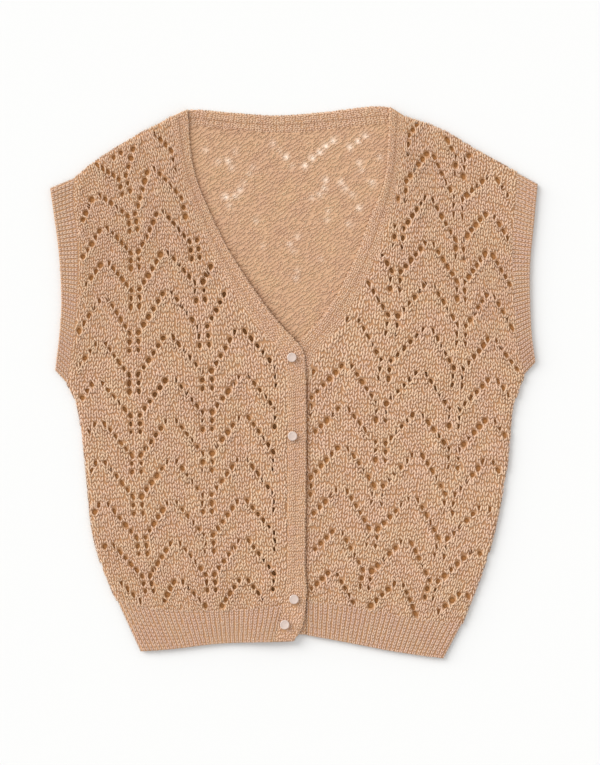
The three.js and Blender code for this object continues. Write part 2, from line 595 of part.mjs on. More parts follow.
const cloth = (colour) => new THREE.MeshStandardMaterial({ color: colour, roughness: 0.95, metalness: 0 });
const materials = {
  lace: cloth(COLOURS.lace),
  rib: cloth(COLOURS.rib),
  band: cloth(COLOURS.band),
  pearl: new THREE.MeshStandardMaterial({ color: COLOURS.button, roughness: 0.25, metalness: 0 }),
};

const vest = new THREE.Group();
function add(name, geometry, material) {
  const mesh = new THREE.Mesh(geometry, material);
  mesh.name = name;
  vest.add(mesh);
  return mesh;
}

const hemEnds = { start: 0.002, end: 0.003 }; // shares of the hem left free at the side seams
const rightHem = ribbedHem(RIGHT.hemSeam, RIGHT.hemEdge, rightLow, HEM_RIB, hemEnds);
const leftHem = ribbedHem(LEFT.hemSeam, LEFT.hemEdge, leftLow, HEM_RIB, hemEnds);
add("back_panel", backPanel(), materials.lace);
add("front_right_panel", rightFrontPanel(), materials.lace);
add("front_left_panel", leftFrontPanel(), materials.lace);
add("hem_rib_back", ribbedHem(BACK_HEM_SEAM, BACK_HEM_EDGE, backLow, FLAT_RIB, hemEnds), materials.rib);
add("hem_rib_front_right", rightHem, materials.rib);
add("hem_rib_front_left", leftHem, materials.rib);
add("armhole_rib_right", armholeRib(RIGHT.armholeSeam, RIGHT.armholeEdge), materials.rib);
add("armhole_rib_left", armholeRib(LEFT.armholeSeam, LEFT.armholeEdge), materials.rib);
add("neckband_back", backNeckband(), materials.band);
add("front_band_left", leftFrontBand(), materials.band);
add("front_band_right", rightFrontBand(), materials.band);
for (const { name, x, y } of BUTTON_PLACES)
  add(name, button(), materials.pearl).position.set(x, y, FRONT_LOW);

export default vest;
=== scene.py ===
"""A knitted sweater vest with a button front, laid flat with its front up and seen from straight above.

Each panel, rib and band is a thin ground of cloth with the stitches lying on it as yarn. The lace
follows a chart: every chevron is 14 stitches wide and its eyelets go one stitch out and two rows down.
The flat knitting is made by Geometry Nodes on a grid of stitches, and then laid on the cloth.
Left and right are the wearer's, so the right front lies at -X and its band lies on the left one.
"""

import math

import bpy
import numpy as np
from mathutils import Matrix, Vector
from mathutils.geometry import delaunay_2d_cdt


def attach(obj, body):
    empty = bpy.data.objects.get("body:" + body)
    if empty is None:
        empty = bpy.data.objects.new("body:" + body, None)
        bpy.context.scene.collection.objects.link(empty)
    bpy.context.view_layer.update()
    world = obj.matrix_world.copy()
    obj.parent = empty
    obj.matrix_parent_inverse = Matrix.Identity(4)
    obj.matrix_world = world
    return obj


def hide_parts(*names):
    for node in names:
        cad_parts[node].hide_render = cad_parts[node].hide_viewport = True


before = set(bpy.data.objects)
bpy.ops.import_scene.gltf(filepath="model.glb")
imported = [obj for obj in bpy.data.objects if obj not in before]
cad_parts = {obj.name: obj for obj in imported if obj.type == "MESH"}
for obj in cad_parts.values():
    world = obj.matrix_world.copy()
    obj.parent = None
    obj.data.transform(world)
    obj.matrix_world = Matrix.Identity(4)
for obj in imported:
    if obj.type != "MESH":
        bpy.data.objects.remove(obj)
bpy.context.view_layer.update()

# Sizes of the cloth, in millimetres like every size of the vest below. Meshes are made in metres.
MM = 0.001
WALL = 2.2  # a knitted layer, ground and yarn
LAYER_GAP = 0.4  # between two layers that lie on each other
GROUND = 1.25  # the ground that the yarn lies on
FRONT_LOW = WALL + LAYER_GAP
SIDE_SEAM = WALL + LAYER_GAP / 2  # height at which the fronts and the back meet in a fold
FOLD_RADIUS = 5.0  # how wide the cloth rounds down to a fold
EDGE_SHARE = 0.12  # how much of its thickness the cloth keeps in a fold
OVERLAP = {"rise": WALL + 0.35, "across": 48, "full_below": 58, "fade": 90, "lift_from_seam": 25}
EDGE_DIP = {"depth": 0.2, "width": 2.4, "fade": 20}

# The knitting: cell width and height of a stitch, and the yarn's radius.
LACE_GAUGE = {"width": 5.2, "height": 4.1, "yarn": 0.95}
RIB_GAUGE = {"width": 3.7, "height": 3.1, "yarn": 0.78}
BAND_GAUGE = {"width": 3.2, "height": 2.7, "yarn": 0.76}
INNER_GAUGE = {"width": 5.2, "height": 1.95, "yarn": 0.84}
CHEVRON = {"stitches": 14, "rows": 10, "eyelets": 8, "on_arm": 5, "rows_of_chevrons": 14,
           "first": 0.072, "last": 0.435, "tail_step": 0.206}
EYELET_MARGIN = 4.0  # from an eyelet's middle to the panel's outline, at least

# How the yarns keep clear of the eyelets, in an eyelet's own sizes: how far they are pushed out and how
# far round it that reaches, and how near its middle a yarn would have to run for its stitch to go.
EYELET_PUSH = 1.95
EYELET_REACH = 1.9
EYELET_CORE = 0.4
HEM_RIB_PITCH = 4.6
ARMHOLE_RIB_PITCH = 4.2
RIB_DEPTH = 0.35


SPAN_STEPS = 24  # points that a smooth line has between two given ones, before it is evened out


def smooth_line(*points, spacing=2.0):
    """A smooth curve through a few points, as points at even steps along it."""
    p = np.array(points, float)
    tangents = (np.vstack([p[1:], p[-1:]]) - np.vstack([p[:1], p[:-1]])) / 2
    t = np.linspace(0, 1, SPAN_STEPS, endpoint=False)[:, None]
    spans = [
        (2 * t**3 - 3 * t**2 + 1) * p[k]
        + (t**3 - 2 * t**2 + t) * tangents[k]
        + (3 * t**2 - 2 * t**3) * p[k + 1]
        + (t**3 - t**2) * tangents[k + 1]
        for k in range(len(p) - 1)
    ]
    dense = np.vstack([*spans, p[-1:]])
    run = np.concatenate([[0], np.cumsum(np.linalg.norm(np.diff(dense, axis=0), axis=1))])
    steps = np.linspace(0, run[-1], max(2, round(run[-1] / spacing)) + 1)
    return np.column_stack([np.interp(steps, run, dense[:, k]) for k in (0, 1)])


def along(line, share):
    """The points at these shares, 0 to 1, of a line."""
    where = np.clip(share, 0, 1) * (len(line) - 1)
    return np.column_stack([np.interp(where, np.arange(len(line)), line[:, k]) for k in (0, 1)])


def length_of(line):
    return float(np.linalg.norm(np.diff(line, axis=0), axis=1).sum())


# Seam and edge lines, as in the pattern of the vest.
RIGHT = {
    "shoulder": smooth_line((-123, 265.5), (-150.4, 250.5), (-176, 235.5), (-200.4, 219.5), (-218.6, 205)),
    "armhole_seam": smooth_line((-218.6, 205), (-220, 181), (-216.2, 150), (-215, 115), (-217.3, 69),
                                (-222, 28), (-226, -2)),
    "armhole_edge": smooth_line((-243.9, 194.5), (-240.4, 170), (-235, 128), (-232.6, 82), (-234.6, 48),
                                (-238.8, 12)),
    "side": smooth_line((-226, -2), (-217.2, -21), (-212.5, -44), (-206, -103), (-201.5, -148),
                        (-191, -185), (-177, -217.5)),
    "hem_seam": smooth_line((-177, -217.5), (-142, -226.5), (-97, -228.8), (-53, -227.5), (-12, -224)),
    "hem_edge": smooth_line((-153.5, -269), (-120, -266.5), (-75, -261.2), (-21, -259.3)),
    "band_seam": smooth_line((-12, -224), (-7.5, -198), (-6.2, -150), (-6.2, -60), (-7, 2), (-12, 26),
                             (-24, 42.5), (-49, 72.5), (-79, 124), (-102, 176), (-116, 225), (-123, 265.5)),
}
LEFT = {
    "shoulder": smooth_line((110, 266.5), (146.7, 253), (182.4, 232), (222.5, 210)),
    "armhole_seam": smooth_line((222.5, 210), (220.5, 170), (218, 130), (220, 92), (222.5, 50), (230, 7.5)),
    "armhole_edge": smooth_line((243.7, 198.5), (239, 150), (236, 118), (236, 82), (237.5, 50), (241.4, 20)),
    "side": smooth_line((230, 7.5), (222.7, -12), (217.5, -30), (212.6, -82), (202.6, -137), (190, -184),
                        (168, -241)),
    "hem_seam": smooth_line((12.2, -218), (60, -224.5), (120, -235.5), (168, -241)),
    "hem_edge": smooth_line((12.4, -252.5), (53, -260), (100, -269), (149.5, -276)),
    "band_seam": smooth_line((12.2, -218), (12.2, -120), (12.2, -20), (14, 10), (24, 32), (46, 58.5),
                             (74, 107), (92, 155), (104, 205), (110, 266.5)),
}
RIGHT_BAND_SEAM = smooth_line((-21, -259.3), (-12, -224), (-7.5, -198), (-6.2, -150), (-6.2, -60), (-7, 2),
                              (-12, 26), (-24, 42.5), (-49, 72.5), (-79, 124), (-102, 176), (-116, 225),
                              (-123, 265.5))
RIGHT_BAND_EDGE = smooth_line((-1, -258.6), (8.7, -242), (12.2, -210), (10.8, -178), (11.7, -90),
                              (11.7, -10), (9.8, 27.5), (1, 42), (-22, 67.5), (-61, 124.5), (-88, 178),
                              (-102.2, 221), (-106.5, 272.9))
LEFT_BAND_SEAM = smooth_line((11.7, -252), (11.9, -218), (12.2, -120), (12.2, -20), (14, 10), (24, 32),
                             (46, 58.5), (74, 107), (92, 155), (104, 205), (110, 266.5))
LEFT_BAND_EDGE = smooth_line((-5, -252), (-5, -218), (-5, -120), (-5, -20), (-4, 14), (6, 40.5),
                             (30.6, 67.5), (57, 114), (77, 166), (92, 206), (95.8, 275.6))
NECKBAND_EDGE = smooth_line((-121.5, 265.8), (-103, 272.6), (-63, 269.5), (-17, 266.8), (29, 270),
                            (88, 276), (109, 266.5))
NECKBAND_SEAM = smooth_line((-128, 257), (-101, 256.8), (-40, 251), (0, 250), (44, 254.5), (90, 259),
                            (117, 260))
BACK_SHOULDER_RIGHT = smooth_line((-128, 257), (-150.4, 250.5), (-176, 235.5), (-200.4, 219.5),
                                  (-218.6, 205))
BACK_SHOULDER_LEFT = smooth_line((117, 260), (146.7, 253), (182.4, 232), (222.5, 210))
BACK_HEM_SEAM = smooth_line((-177, -217.5), (-100, -230), (0, -223), (100, -232), (168, -241))
BACK_HEM_EDGE = smooth_line((-153, -266), (-75, -258.5), (0, -249.5), (70, -260), (148.5, -273.5))

# Chevron rows of each front from the hem up: the height of the apex in the middle column, how much
# lower it lies one column out, and where the outer, middle and inner columns lie across. The lowest
# row is below the first chevrons and only says how the stitches narrow towards the hem.
RIGHT_CHEVRONS = [
    (-236.0, 0.9, -165.2, -107.5, -49.1),
    (-199.6, 1.3, -176.5, -115.4, -50.1),
    (-161.1, 2.6, -184.4, -118.7, -50.2),
    (-120.7, 1.7, -190.3, -121.6, -51.5),
    (-79.2, 1.6, -193.2, -121.9, -51.4),
    (-38.8, 3.1, -194.2, -122.6, -50.4),
    (2.0, 3.4, -196.3, -123.4, -50.2),
    (44.6, 5.9, -193.1, -125.7, -54.3),
    (89.0, 7.1, -190.2, -126.6, -61.5),
    (128.6, 10.6, -189.2, -129.2, -69.9),
    (169.0, 16.5, -190.2, -133.7, -82.0),
    (211.8, 27.0, -198.1, -143.2, -93.7),
]
LEFT_CHEVRONS = [
    (-242.3, 12.3, 152.9, 96.0, 34.4),
    (-202.1, 10.6, 169.3, 104.8, 38.6),
    (-160.2, 10.2, 181.2, 112.6, 43.3),
    (-117.1, 9.0, 190.3, 119.1, 47.8),
    (-73.1, 6.9, 194.5, 123.5, 48.9),
    (-32.8, 5.9, 195.8, 123.8, 49.7),
    (8.7, 7.2, 199.1, 127.2, 53.1),
    (52.2, 9.9, 198.2, 133.9, 59.4),
    (96.6, 10.3, 196.3, 135.3, 65.0),
    (138.6, 11.4, 195.0, 135.5, 72.6),
    (183.4, 17.1, 195.9, 134.8, 84.4),
    (226.8, 23.4, 198.7, 136.4, 90.3),
]
BACK_CHEVRON = {"width": 74.0, "height": 40.0, "apex_x": 43.0, "apex_y": 247.0, "apex_row": 12}

# Spots in the back's neck where light from the paper below is painted into the wool as if through open eyelets,
# and how wide each is; the ground stays closed under them. The others there have closed up.
NECK_EYELETS = [
    (39, 241.4, 0.9), (32, 236.4, 1.0), (25.6, 230.2, 1.0), (18.8, 224.4, 1.0), (11, 217, 0.9),
    (56, 235.4, 0.8), (64, 241.2, 0.9), (71.4, 246.4, 0.7), (65, 219.4, 0.6), (68, 212.4, 0.5),
    (86, 225.4, 0.5), (-21, 239.4, 0.5), (-14.5, 232, 0.4), (-8, 225.4, 1.0), (-2, 217, 0.4),
    (-66, 221.4, 0.8), (-63, 214.4, 0.5), (-75, 221.4, 0.5), (-59, 230.4, 0.4), (-88, 232.4, 0.5),
    (-41, 215.4, 0.4), (-45, 208.4, 0.4), (-50, 200.4, 0.4), (-54, 192.4, 0.7), (-59, 186.4, 0.7),
    (-68, 185.4, 1.0), (-65, 177.4, 0.5), (32, 202.4, 0.7), (30, 194.4, 0.7), (25, 188.4, 0.6),
    (18, 184.4, 0.5), (47, 200.4, 0.7), (52, 194.4, 0.6), (58, 188.4, 0.5), (65, 174.4, 0.8),
    (78, 200.4, 0.7), (33, 162.4, 0.5), (34, 171.4, 0.5), (54, 158.4, 0.5), (-38, 161.4, 0.5),
    (-4, 138.4, 0.6), (3, 145.4, 0.5), (-1, 131.6, 0.4), (-31, 136.4, 0.4), (27, 123.4, 0.4),
    (3, 111.4, 0.4), (2, 104.0, 0.5),
]

# Soft folds of the fronts, low ridges that run from one place to another and rise at both ends over
# a third of their length.
FOLD_ENDS = 3
FOLDS = [
    {"start": (-196, 22), "end": (-92, -30), "height": 1.1, "width": 15},
    {"start": (-190, -8), "end": (-118, -84), "height": 0.8, "width": 12},
    {"start": (200, 30), "end": (96, -24), "height": 1.1, "width": 15},
    {"start": (192, 0), "end": (124, -92), "height": 0.8, "width": 12},
    {"start": (-150, 214), "end": (-82, 92), "height": 0.7, "width": 16},
    {"start": (150, 216), "end": (80, 90), "height": 0.8, "width": 16},
]
BUST = {"x": 108, "y": 40, "half_width": 86, "half_height": 150, "height": 1.0}

# The cloth bellies out a little above the hem ribs, in ripples. The hem seams' height is taken from
# these straight stretches.
BLOUSING = {"above": 20, "width": 15, "height": 0.8, "ripple": 27, "ripple_share": 0.4, "inner": 14, "fade": 25,
            "outer": 165}
HEM = {"right": -228, "right_rise": 10, "rise_from": 130, "rise_over": 45, "left": -218, "left_drop": 23,
       "drop_over": 168}
DIMPLE = {"depth": 0.45, "radius": 4.2}
RIDGE = {"height": 0.9, "width": 2.0, "below": 0.14, "inwards": 0.02, "past_ends": 0.2, "points": 22}

SPOT_RADIUS = 2.7  # of a spot of light that comes through the back
UNDER_BANDS = 9  # how far under the bands the back's inner side is knitted
NECK_TIP = 24  # height just below the lowest place where the back shows

# How far, in rows, each column of the lace's stitches is slid along itself at most.
COLUMN_SLIDE = {"most": 0.32, "seed": 27}

# Half width, half height and lean of the eyelets on each side of a chevron, and on its tails, and how
# much they vary.
EYELET_SHAPES = {-1: (2.05, 2.4, 0.3), 0: (1.65, 2.4, 0.0), 1: (1.45, 2.7, -0.5)}

EYELET_VARIETY = {"seed": 7, "size": 0.14, "size_limits": (0.72, 1.3), "width": 0.08,
                  "width_limits": (0.85, 1.15), "lean": 0.12}

BUTTONS = [
    {"node": "button_1", "x": -2.2, "y": 25.0},
    {"node": "button_2", "x": -1.5, "y": -53.5},
    {"node": "button_3", "x": 0.0, "y": -216.3},
    {"node": "button_4", "x": -9.3, "y": -241.6},
]
BUTTON = {"radius": 4.8, "thickness": 2.2, "dish": 3.1, "shank": 0.95, "shank_length": 1.9}
BUTTONHOLE = {"half_length": 6.0, "half_width": 1.0, "below": 3.2}


CHUNK = 3000  # how many places are measured at once, to spare memory


def ease(t):
    k = np.clip(t, 0, 1)
    return k * k * (3 - 2 * k)


# Places in the cloth


def distance_to(line, xy, chunk=CHUNK):
    """How far each point is from a line."""
    a, b = line[:-1], line[1:]
    span = b - a
    square = np.maximum((span**2).sum(1), 1e-9)
    found = []
    for start in range(0, len(xy), chunk):
        p = xy[start:start + chunk, None, :]
        share = np.clip(((p - a) * span).sum(2) / square, 0, 1)
        found.append(np.linalg.norm(p - (a + share[..., None] * span), axis=2).min(1))
    return np.concatenate(found)


def inside(outline, xy, chunk=CHUNK):
    """Which points are inside a closed outline."""
    a, b = outline, np.roll(outline, -1, axis=0)
    rise = np.where(b[:, 1] == a[:, 1], 1e-9, b[:, 1] - a[:, 1])
    found = []
    for start in range(0, len(xy), chunk):
        x, y = xy[start:start + chunk, 0:1], xy[start:start + chunk, 1:2]
        crosses = (a[:, 1] > y) != (b[:, 1] > y)
        left = x < a[:, 0] + (b[:, 0] - a[:, 0]) * (y - a[:, 1]) / rise
        found.append((crosses & left).sum(1) % 2 == 1)
    return np.concatenate(found)


def held_in(outline, xy, limit):
    """Points, those far outside an outline drawn in to a small way outside it."""
    moved = xy.copy()
    out = np.flatnonzero(~inside(outline, xy))
    rim = closed(outline)
    a, span = rim[:-1], np.diff(rim, axis=0)
    square = np.maximum((span**2).sum(1), 1e-9)
    for start in range(0, len(out), CHUNK):
        k = out[start:start + CHUNK]
        p = xy[k][:, None, :]
        share = np.clip(((p - a) * span).sum(2) / square, 0, 1)
        feet = a + share[..., None] * span
        away = np.linalg.norm(p - feet, axis=2)
        nearest = away.argmin(1)
        foot, far = feet[np.arange(len(k)), nearest], away.min(1)
        reach = limit * (1 - np.exp(-far / limit))
        moved[k] = foot + (xy[k] - foot) * (reach / np.maximum(far, 1e-6))[:, None]
    return moved


def outline_of(*stretches):
    """Lines that follow each other, joined to a closed outline."""
    return np.vstack([line[:-1] for line in stretches])


def closed(outline):
    return np.vstack([outline, outline[:1]])


def lift(xy):
    """How far the cloth of a front stands off the cloth below it."""
    x, y = xy[:, 0], xy[:, 1]
    z = np.zeros(len(xy))
    for fold in FOLDS:
        start, end = np.array(fold["start"], float), np.array(fold["end"], float)
        span = end - start
        share = ((xy - start) @ span) / (span @ span)
        away = np.linalg.norm(xy - start - share[:, None] * span, axis=1)
        ends = ease(share * FOLD_ENDS) * ease((1 - share) * FOLD_ENDS)
        z += fold["height"] * np.exp(-((away / fold["width"]) ** 2)) * ends
    bust = np.hypot((np.abs(x) - BUST["x"]) / BUST["half_width"], (y - BUST["y"]) / BUST["half_height"])
    z += BUST["height"] * ease(1 - bust)
    right_hem = HEM["right"] + HEM["right_rise"] * ease((-x - HEM["rise_from"]) / HEM["rise_over"])
    left_hem = HEM["left"] - HEM["left_drop"] * ease(x / HEM["drop_over"])
    hem = np.where(x < 0, right_hem, left_hem)
    over_hem = (y - hem - BLOUSING["above"]) / BLOUSING["width"]
    ends = ease((BLOUSING["outer"] - np.abs(x)) / BLOUSING["fade"])
    ends *= ease((np.abs(x) - BLOUSING["inner"]) / BLOUSING["fade"])
    wave = BLOUSING["ripple_share"]
    ripple = 1 - wave + wave * np.cos(2 * math.pi * x / BLOUSING["ripple"])
    return z + BLOUSING["height"] * np.exp(-(over_hem**2)) * ends * ripple


def x_at(line, y):
    """Where a line lies across, at each height."""
    order = np.argsort(line[:, 1])
    return np.interp(y, line[order, 1], line[order, 0])


def right_low(xy):
    """Underside of the right front, which rises to lie on the left band."""
    away = x_at(RIGHT_BAND_SEAM, xy[:, 1]) - xy[:, 0]
    rise = OVERLAP["rise"] * (1 - ease(away / OVERLAP["across"]))
    rise *= 1 - ease((xy[:, 1] - OVERLAP["full_below"]) / OVERLAP["fade"])
    return FRONT_LOW + lift(xy) * ease(away / OVERLAP["lift_from_seam"]) + rise


def left_low(xy):
    """Underside of the left front, which dips along the free edge of the right band on it."""
    edge = x_at(RIGHT_BAND_EDGE, xy[:, 1])
    dip = EDGE_DIP["depth"] * np.exp(-(((xy[:, 0] - edge) / EDGE_DIP["width"]) ** 2))
    return FRONT_LOW + lift(xy) - dip * ease((OVERLAP["full_below"] - xy[:, 1]) / EDGE_DIP["fade"])


def back_low(xy):
    return np.zeros(len(xy))


class Relief:
    """Heights over a part of the surface, kept on a grid so that many points read them quickly."""

    STEP = 1.6
    MARGIN = 12

    def __init__(self, outline, height):
        self.low = outline.min(0) - self.MARGIN
        counts = np.ceil((outline.max(0) + self.MARGIN - self.low) / self.STEP).astype(int) + 1
        x = self.low[0] + np.arange(counts[0]) * self.STEP
        y = self.low[1] + np.arange(counts[1]) * self.STEP
        grid = np.array(np.meshgrid(x, y, indexing="ij")).reshape(2, -1).T
        self.z = height(grid).reshape(counts)
        slope_x, slope_y = np.gradient(self.z, self.STEP)
        self.layers = np.dstack([self.z, slope_x, slope_y])

    def at(self, xy):
        """Height and the two slopes at each point."""
        where = (xy - self.low) / self.STEP
        k = np.clip(np.floor(where).astype(int), 0, np.array(self.z.shape) - 2)
        t = np.clip(where - k, 0, 1)
        i, j = k[:, 0], k[:, 1]
        s, u = t[:, 0:1], t[:, 1:2]
        values = self.layers
        return (
            values[i, j] * (1 - s) * (1 - u)
            + values[i + 1, j] * s * (1 - u)
            + values[i, j + 1] * (1 - s) * u
            + values[i + 1, j + 1] * s * u
        )


def nearest(points, xy, chunk=CHUNK):
    """How far each place is from the nearest of some points."""
    found = []
    for start in range(0, len(xy), chunk):
        away = xy[start:start + chunk, None, :] - points
        found.append(np.sqrt((away**2).sum(2).min(1)))
    return np.concatenate(found)


class Panel:
    """A lace panel: its outline, the stretches that are folds, its chart and its heights.
    outwards is the way across, -1 or 1, from its middle column to its outer one."""

    COLUMNS = 4  # of chevrons, on each side of the middle one, that may hold stitches
    STITCH_ROWS = (-20, 136)

    def __init__(self, stretches, folds, chart, columns, low, arm_step, outwards=1):
        self.outline = outline_of(*stretches)
        self.chart = chart
        self.eyelets, self.sides = self.place_eyelets(columns, arm_step, outwards)
        clear = inside(self.outline, self.eyelets)
        clear &= distance_to(closed(self.outline), self.eyelets) > EYELET_MARGIN
        self.eyelets, self.sides = self.eyelets[clear], self.sides[clear]
        self.holes = self.eyelet_shapes()
        ridges = self.ridge_points(columns, arm_step)

        def roundness(xy):
            near = np.min([distance_to(line, xy) for line in folds], axis=0)
            share = np.clip(np.where(inside(self.outline, xy), near, 0) / FOLD_RADIUS, 0, 1)
            return np.sqrt(1 - (1 - share) ** 2)

        def height(xy):
            dimples = DIMPLE["depth"] * np.exp(-((nearest(self.eyelets, xy) / DIMPLE["radius"]) ** 2))
            ridge = RIDGE["height"] * np.exp(-((nearest(ridges, xy) / RIDGE["width"]) ** 2))
            return low(xy) - dimples + ridge

        self.round = Relief(self.outline, roundness)
        self.base = Relief(self.outline, height)

    def place_eyelets(self, columns, arm_step, outwards):
        """Where the eyelets lie, and the side of its chevron that each is on: -1 and 1 for the arms to
        the viewer's left and right, and 0 for the straight tails below them."""
        chart, sides = [], []
        span = CHEVRON["last"] - CHEVRON["first"]
        for column in columns:
            for row in range(CHEVRON["rows_of_chevrons"]):
                for step in range(CHEVRON["eyelets"]):
                    for arm in (-1, 1):
                        on_arm = min(step, CHEVRON["on_arm"])
                        spread = CHEVRON["first"] + span * on_arm / CHEVRON["on_arm"]
                        drop = arm_step * on_arm + CHEVRON["tail_step"] * (step - on_arm)
                        chart.append((column + arm * spread, row - drop))
                        sides.append(arm * outwards * (step <= CHEVRON["on_arm"]))
        chart = np.array(chart)
        return self.chart(chart[:, 0], chart[:, 1]), np.array(sides)

    def eyelet_shapes(self):
        """Each eyelet's half width, half height and lean. Those on one arm are drawn into slots."""
        chance = np.random.default_rng(EYELET_VARIETY["seed"])
        shapes = []
        for side in self.sides:
            across, tall, lean = EYELET_SHAPES[int(side)]
            size = np.clip(chance.normal(1, EYELET_VARIETY["size"]), *EYELET_VARIETY["size_limits"])
            thin = np.clip(chance.normal(1, EYELET_VARIETY["width"]), *EYELET_VARIETY["width_limits"])
            turn = chance.normal(0, EYELET_VARIETY["lean"])
            shapes.append((across * size * thin, tall * size / thin, lean + turn))
        return np.array(shapes)

    def ridge_points(self, columns, arm_step):
        """Points along the decreases, which make a smooth ridge just below each slanting arm."""
        past = RIDGE["past_ends"]
        steps = np.linspace(-past, CHEVRON["on_arm"] + past, RIDGE["points"])
        spread = CHEVRON["first"] + (CHEVRON["last"] - CHEVRON["first"]) * steps / CHEVRON["on_arm"]
        return np.vstack([
            self.chart(column + arm * (spread - RIDGE["inwards"]), row - arm_step * steps - RIDGE["below"])
            for column in columns
            for row in range(CHEVRON["rows_of_chevrons"])
            for arm in (-1, 1)
        ])

    def place(self, cells):
        """Where stitch and row numbers lie."""
        return self.chart(cells[:, 0] / CHEVRON["stitches"], cells[:, 1] / CHEVRON["rows"])

    def in_eyelets(self, xy):
        """For each point, the eyelet that it is deepest in or nearest to, its offset in the eyelet's own
        axes, and how many times the eyelet's size it is away."""
        cos, sin = np.cos(self.holes[:, 2]), np.sin(self.holes[:, 2])
        away = xy[:, None, :] - self.eyelets
        x = (away[..., 0] * cos - away[..., 1] * sin) / self.holes[:, 0]
        y = (away[..., 0] * sin + away[..., 1] * cos) / self.holes[:, 1]
        sizes = np.hypot(x, y)
        k = sizes.argmin(1)
        row = np.arange(len(xy))
        return k, np.column_stack([x[row, k], y[row, k]]), sizes[row, k]

    def opened(self, xy, chunk=CHUNK):
        """Yarn points moved out of the eyelets, to their rims."""
        moved = xy.copy()
        for start in range(0, len(xy), chunk):
            k, offset, size = self.in_eyelets(xy[start:start + chunk])
            pushed = np.sqrt(size**2 + EYELET_PUSH * np.exp(-((size / EYELET_REACH) ** 2)))
            wider = pushed / np.maximum(size, 1e-3) - 1
            shift = offset * wider[:, None] * self.holes[k, :2]
            cos, sin = np.cos(self.holes[k, 2]), np.sin(self.holes[k, 2])
            moved[start:start + chunk, 0] += shift[:, 0] * cos + shift[:, 1] * sin
            moved[start:start + chunk, 1] += shift[:, 1] * cos - shift[:, 0] * sin
        return moved

    def stitches(self, over):
        """The stitch cells of the panel that hold yarn, out to a little over its outline. Those whose
        yarn would cross an eyelet's middle are left out."""
        reach = CHEVRON["stitches"] * self.COLUMNS
        i, j = np.meshgrid(np.arange(-reach, reach + 1), np.arange(*self.STITCH_ROWS), indexing="ij")
        slides = np.random.default_rng(COLUMN_SLIDE["seed"]).uniform(-1, 1, 2 * reach + 1)
        cells = np.column_stack([i.ravel(), (j + COLUMN_SLIDE["most"] * slides[i + reach]).ravel()])
        at = self.place(cells)
        low, high = self.outline.min(0) - 2 * over, self.outline.max(0) + 2 * over
        near = ((at > low) & (at < high)).all(1)
        cells, at = cells[near], at[near]
        kept = inside(self.outline, at) | (distance_to(closed(self.outline), at) < over)
        cells = cells[kept]
        crossed = np.zeros(len(cells), bool)
        for dx, dy in KNIT_PATH:
            for mirror in (-1, 1):
                yarn = self.place(cells + np.array([mirror * dx, dy]))
                crossed |= np.concatenate([
                    self.in_eyelets(yarn[start:start + CHUNK])[2] < EYELET_CORE
                    for start in range(0, len(yarn), CHUNK)
                ])
        return cells[~crossed]

    def heights(self, xy):
        """Underside of the cloth, and how much of the full thickness there is, which rounds to the folds."""
        share = self.round.at(xy)[:, 0]
        low = SIDE_SEAM + (self.base.at(xy)[:, 0] - SIDE_SEAM) * share
        return low, EDGE_SHARE + (1 - EDGE_SHARE) * share

    def top(self, xy):
        low, thick = self.heights(xy)
        return low + GROUND * thick

    def bottom(self, xy):
        return self.heights(xy)[0]


def read_table(table, at):
    """Values between the rows of a table, on a smooth curve that runs straight on beyond its ends."""
    table = np.array(table)
    last = len(table) - 1
    slopes = np.gradient(table, axis=0)
    k = np.clip(np.floor(at).astype(int), 0, last - 1)
    t = np.clip(at - k, 0, 1)[:, None]
    values = (
        (2 * t**3 - 3 * t**2 + 1) * table[k]
        + (t**3 - 2 * t**2 + t) * slopes[k]
        + (3 * t**2 - 2 * t**3) * table[k + 1]
        + (t**3 - t**2) * slopes[k + 1]
    )
    below = np.minimum(at, 0)[:, None] * slopes[0]
    above = np.maximum(at - last, 0)[:, None] * slopes[last]
    return values + below + above


def front_chart(table):
    """A front's chart: column 0 is the middle one and 1 the outer one, and row 0 the lowest apexes."""

    def place(column, row):
        y, tilt, outer, middle, inner = read_table(table, row + 1).T
        x = middle + (outer - inner) / 2 * column + ((outer + inner) / 2 - middle) * column**2
        return np.column_stack([x, y - tilt * column])

    return place


def back_chart(column, row):
    """The back's chart, which lies straight."""
    width, height = BACK_CHEVRON["width"], BACK_CHEVRON["height"]
    return np.column_stack([
        BACK_CHEVRON["apex_x"] + column * width,
        BACK_CHEVRON["apex_y"] + (row - BACK_CHEVRON["apex_row"]) * height,
    ])


# Meshes


def make_mesh(name, points, faces, material):
    """A finished piece from points in millimetres."""
    mesh = bpy.data.meshes.new(name)
    mesh.from_pydata((np.asarray(points) * MM).tolist(), [], [tuple(int(i) for i in f) for f in faces])
    mesh.polygons.foreach_set("use_smooth", [True] * len(mesh.polygons))
    mesh.materials.append(material)
    mesh.update()
    piece = bpy.data.objects.new(name, mesh)
    bpy.context.collection.objects.link(piece)
    return piece


def oval(centre, shape, turn, wider=0.0):
    """Points round an oval of a half width, a half height and a lean."""
    across, tall, lean = shape
    x, y = (across + wider) * np.cos(turn), (tall + wider) * np.sin(turn)
    return centre + np.column_stack([
        x * math.cos(lean) + y * math.sin(lean),
        y * math.cos(lean) - x * math.sin(lean),
    ])


# The net of a panel's ground: how far apart its points lie, how far from the outline the first ones
# and the two rows along it lie, how far they keep from the eyelets, and the points round an eyelet,
# which reach a little way under its yarns.
NET = {"spacing": 6.5, "from_rim": 3.8, "rim_rows": (1.2, 3.0), "from_eyelets": 0.9, "round_eyelet": 8,
       "under_yarns": 0.25}
EVEN_ROWS = 0.866  # the height of a triangle with even sides


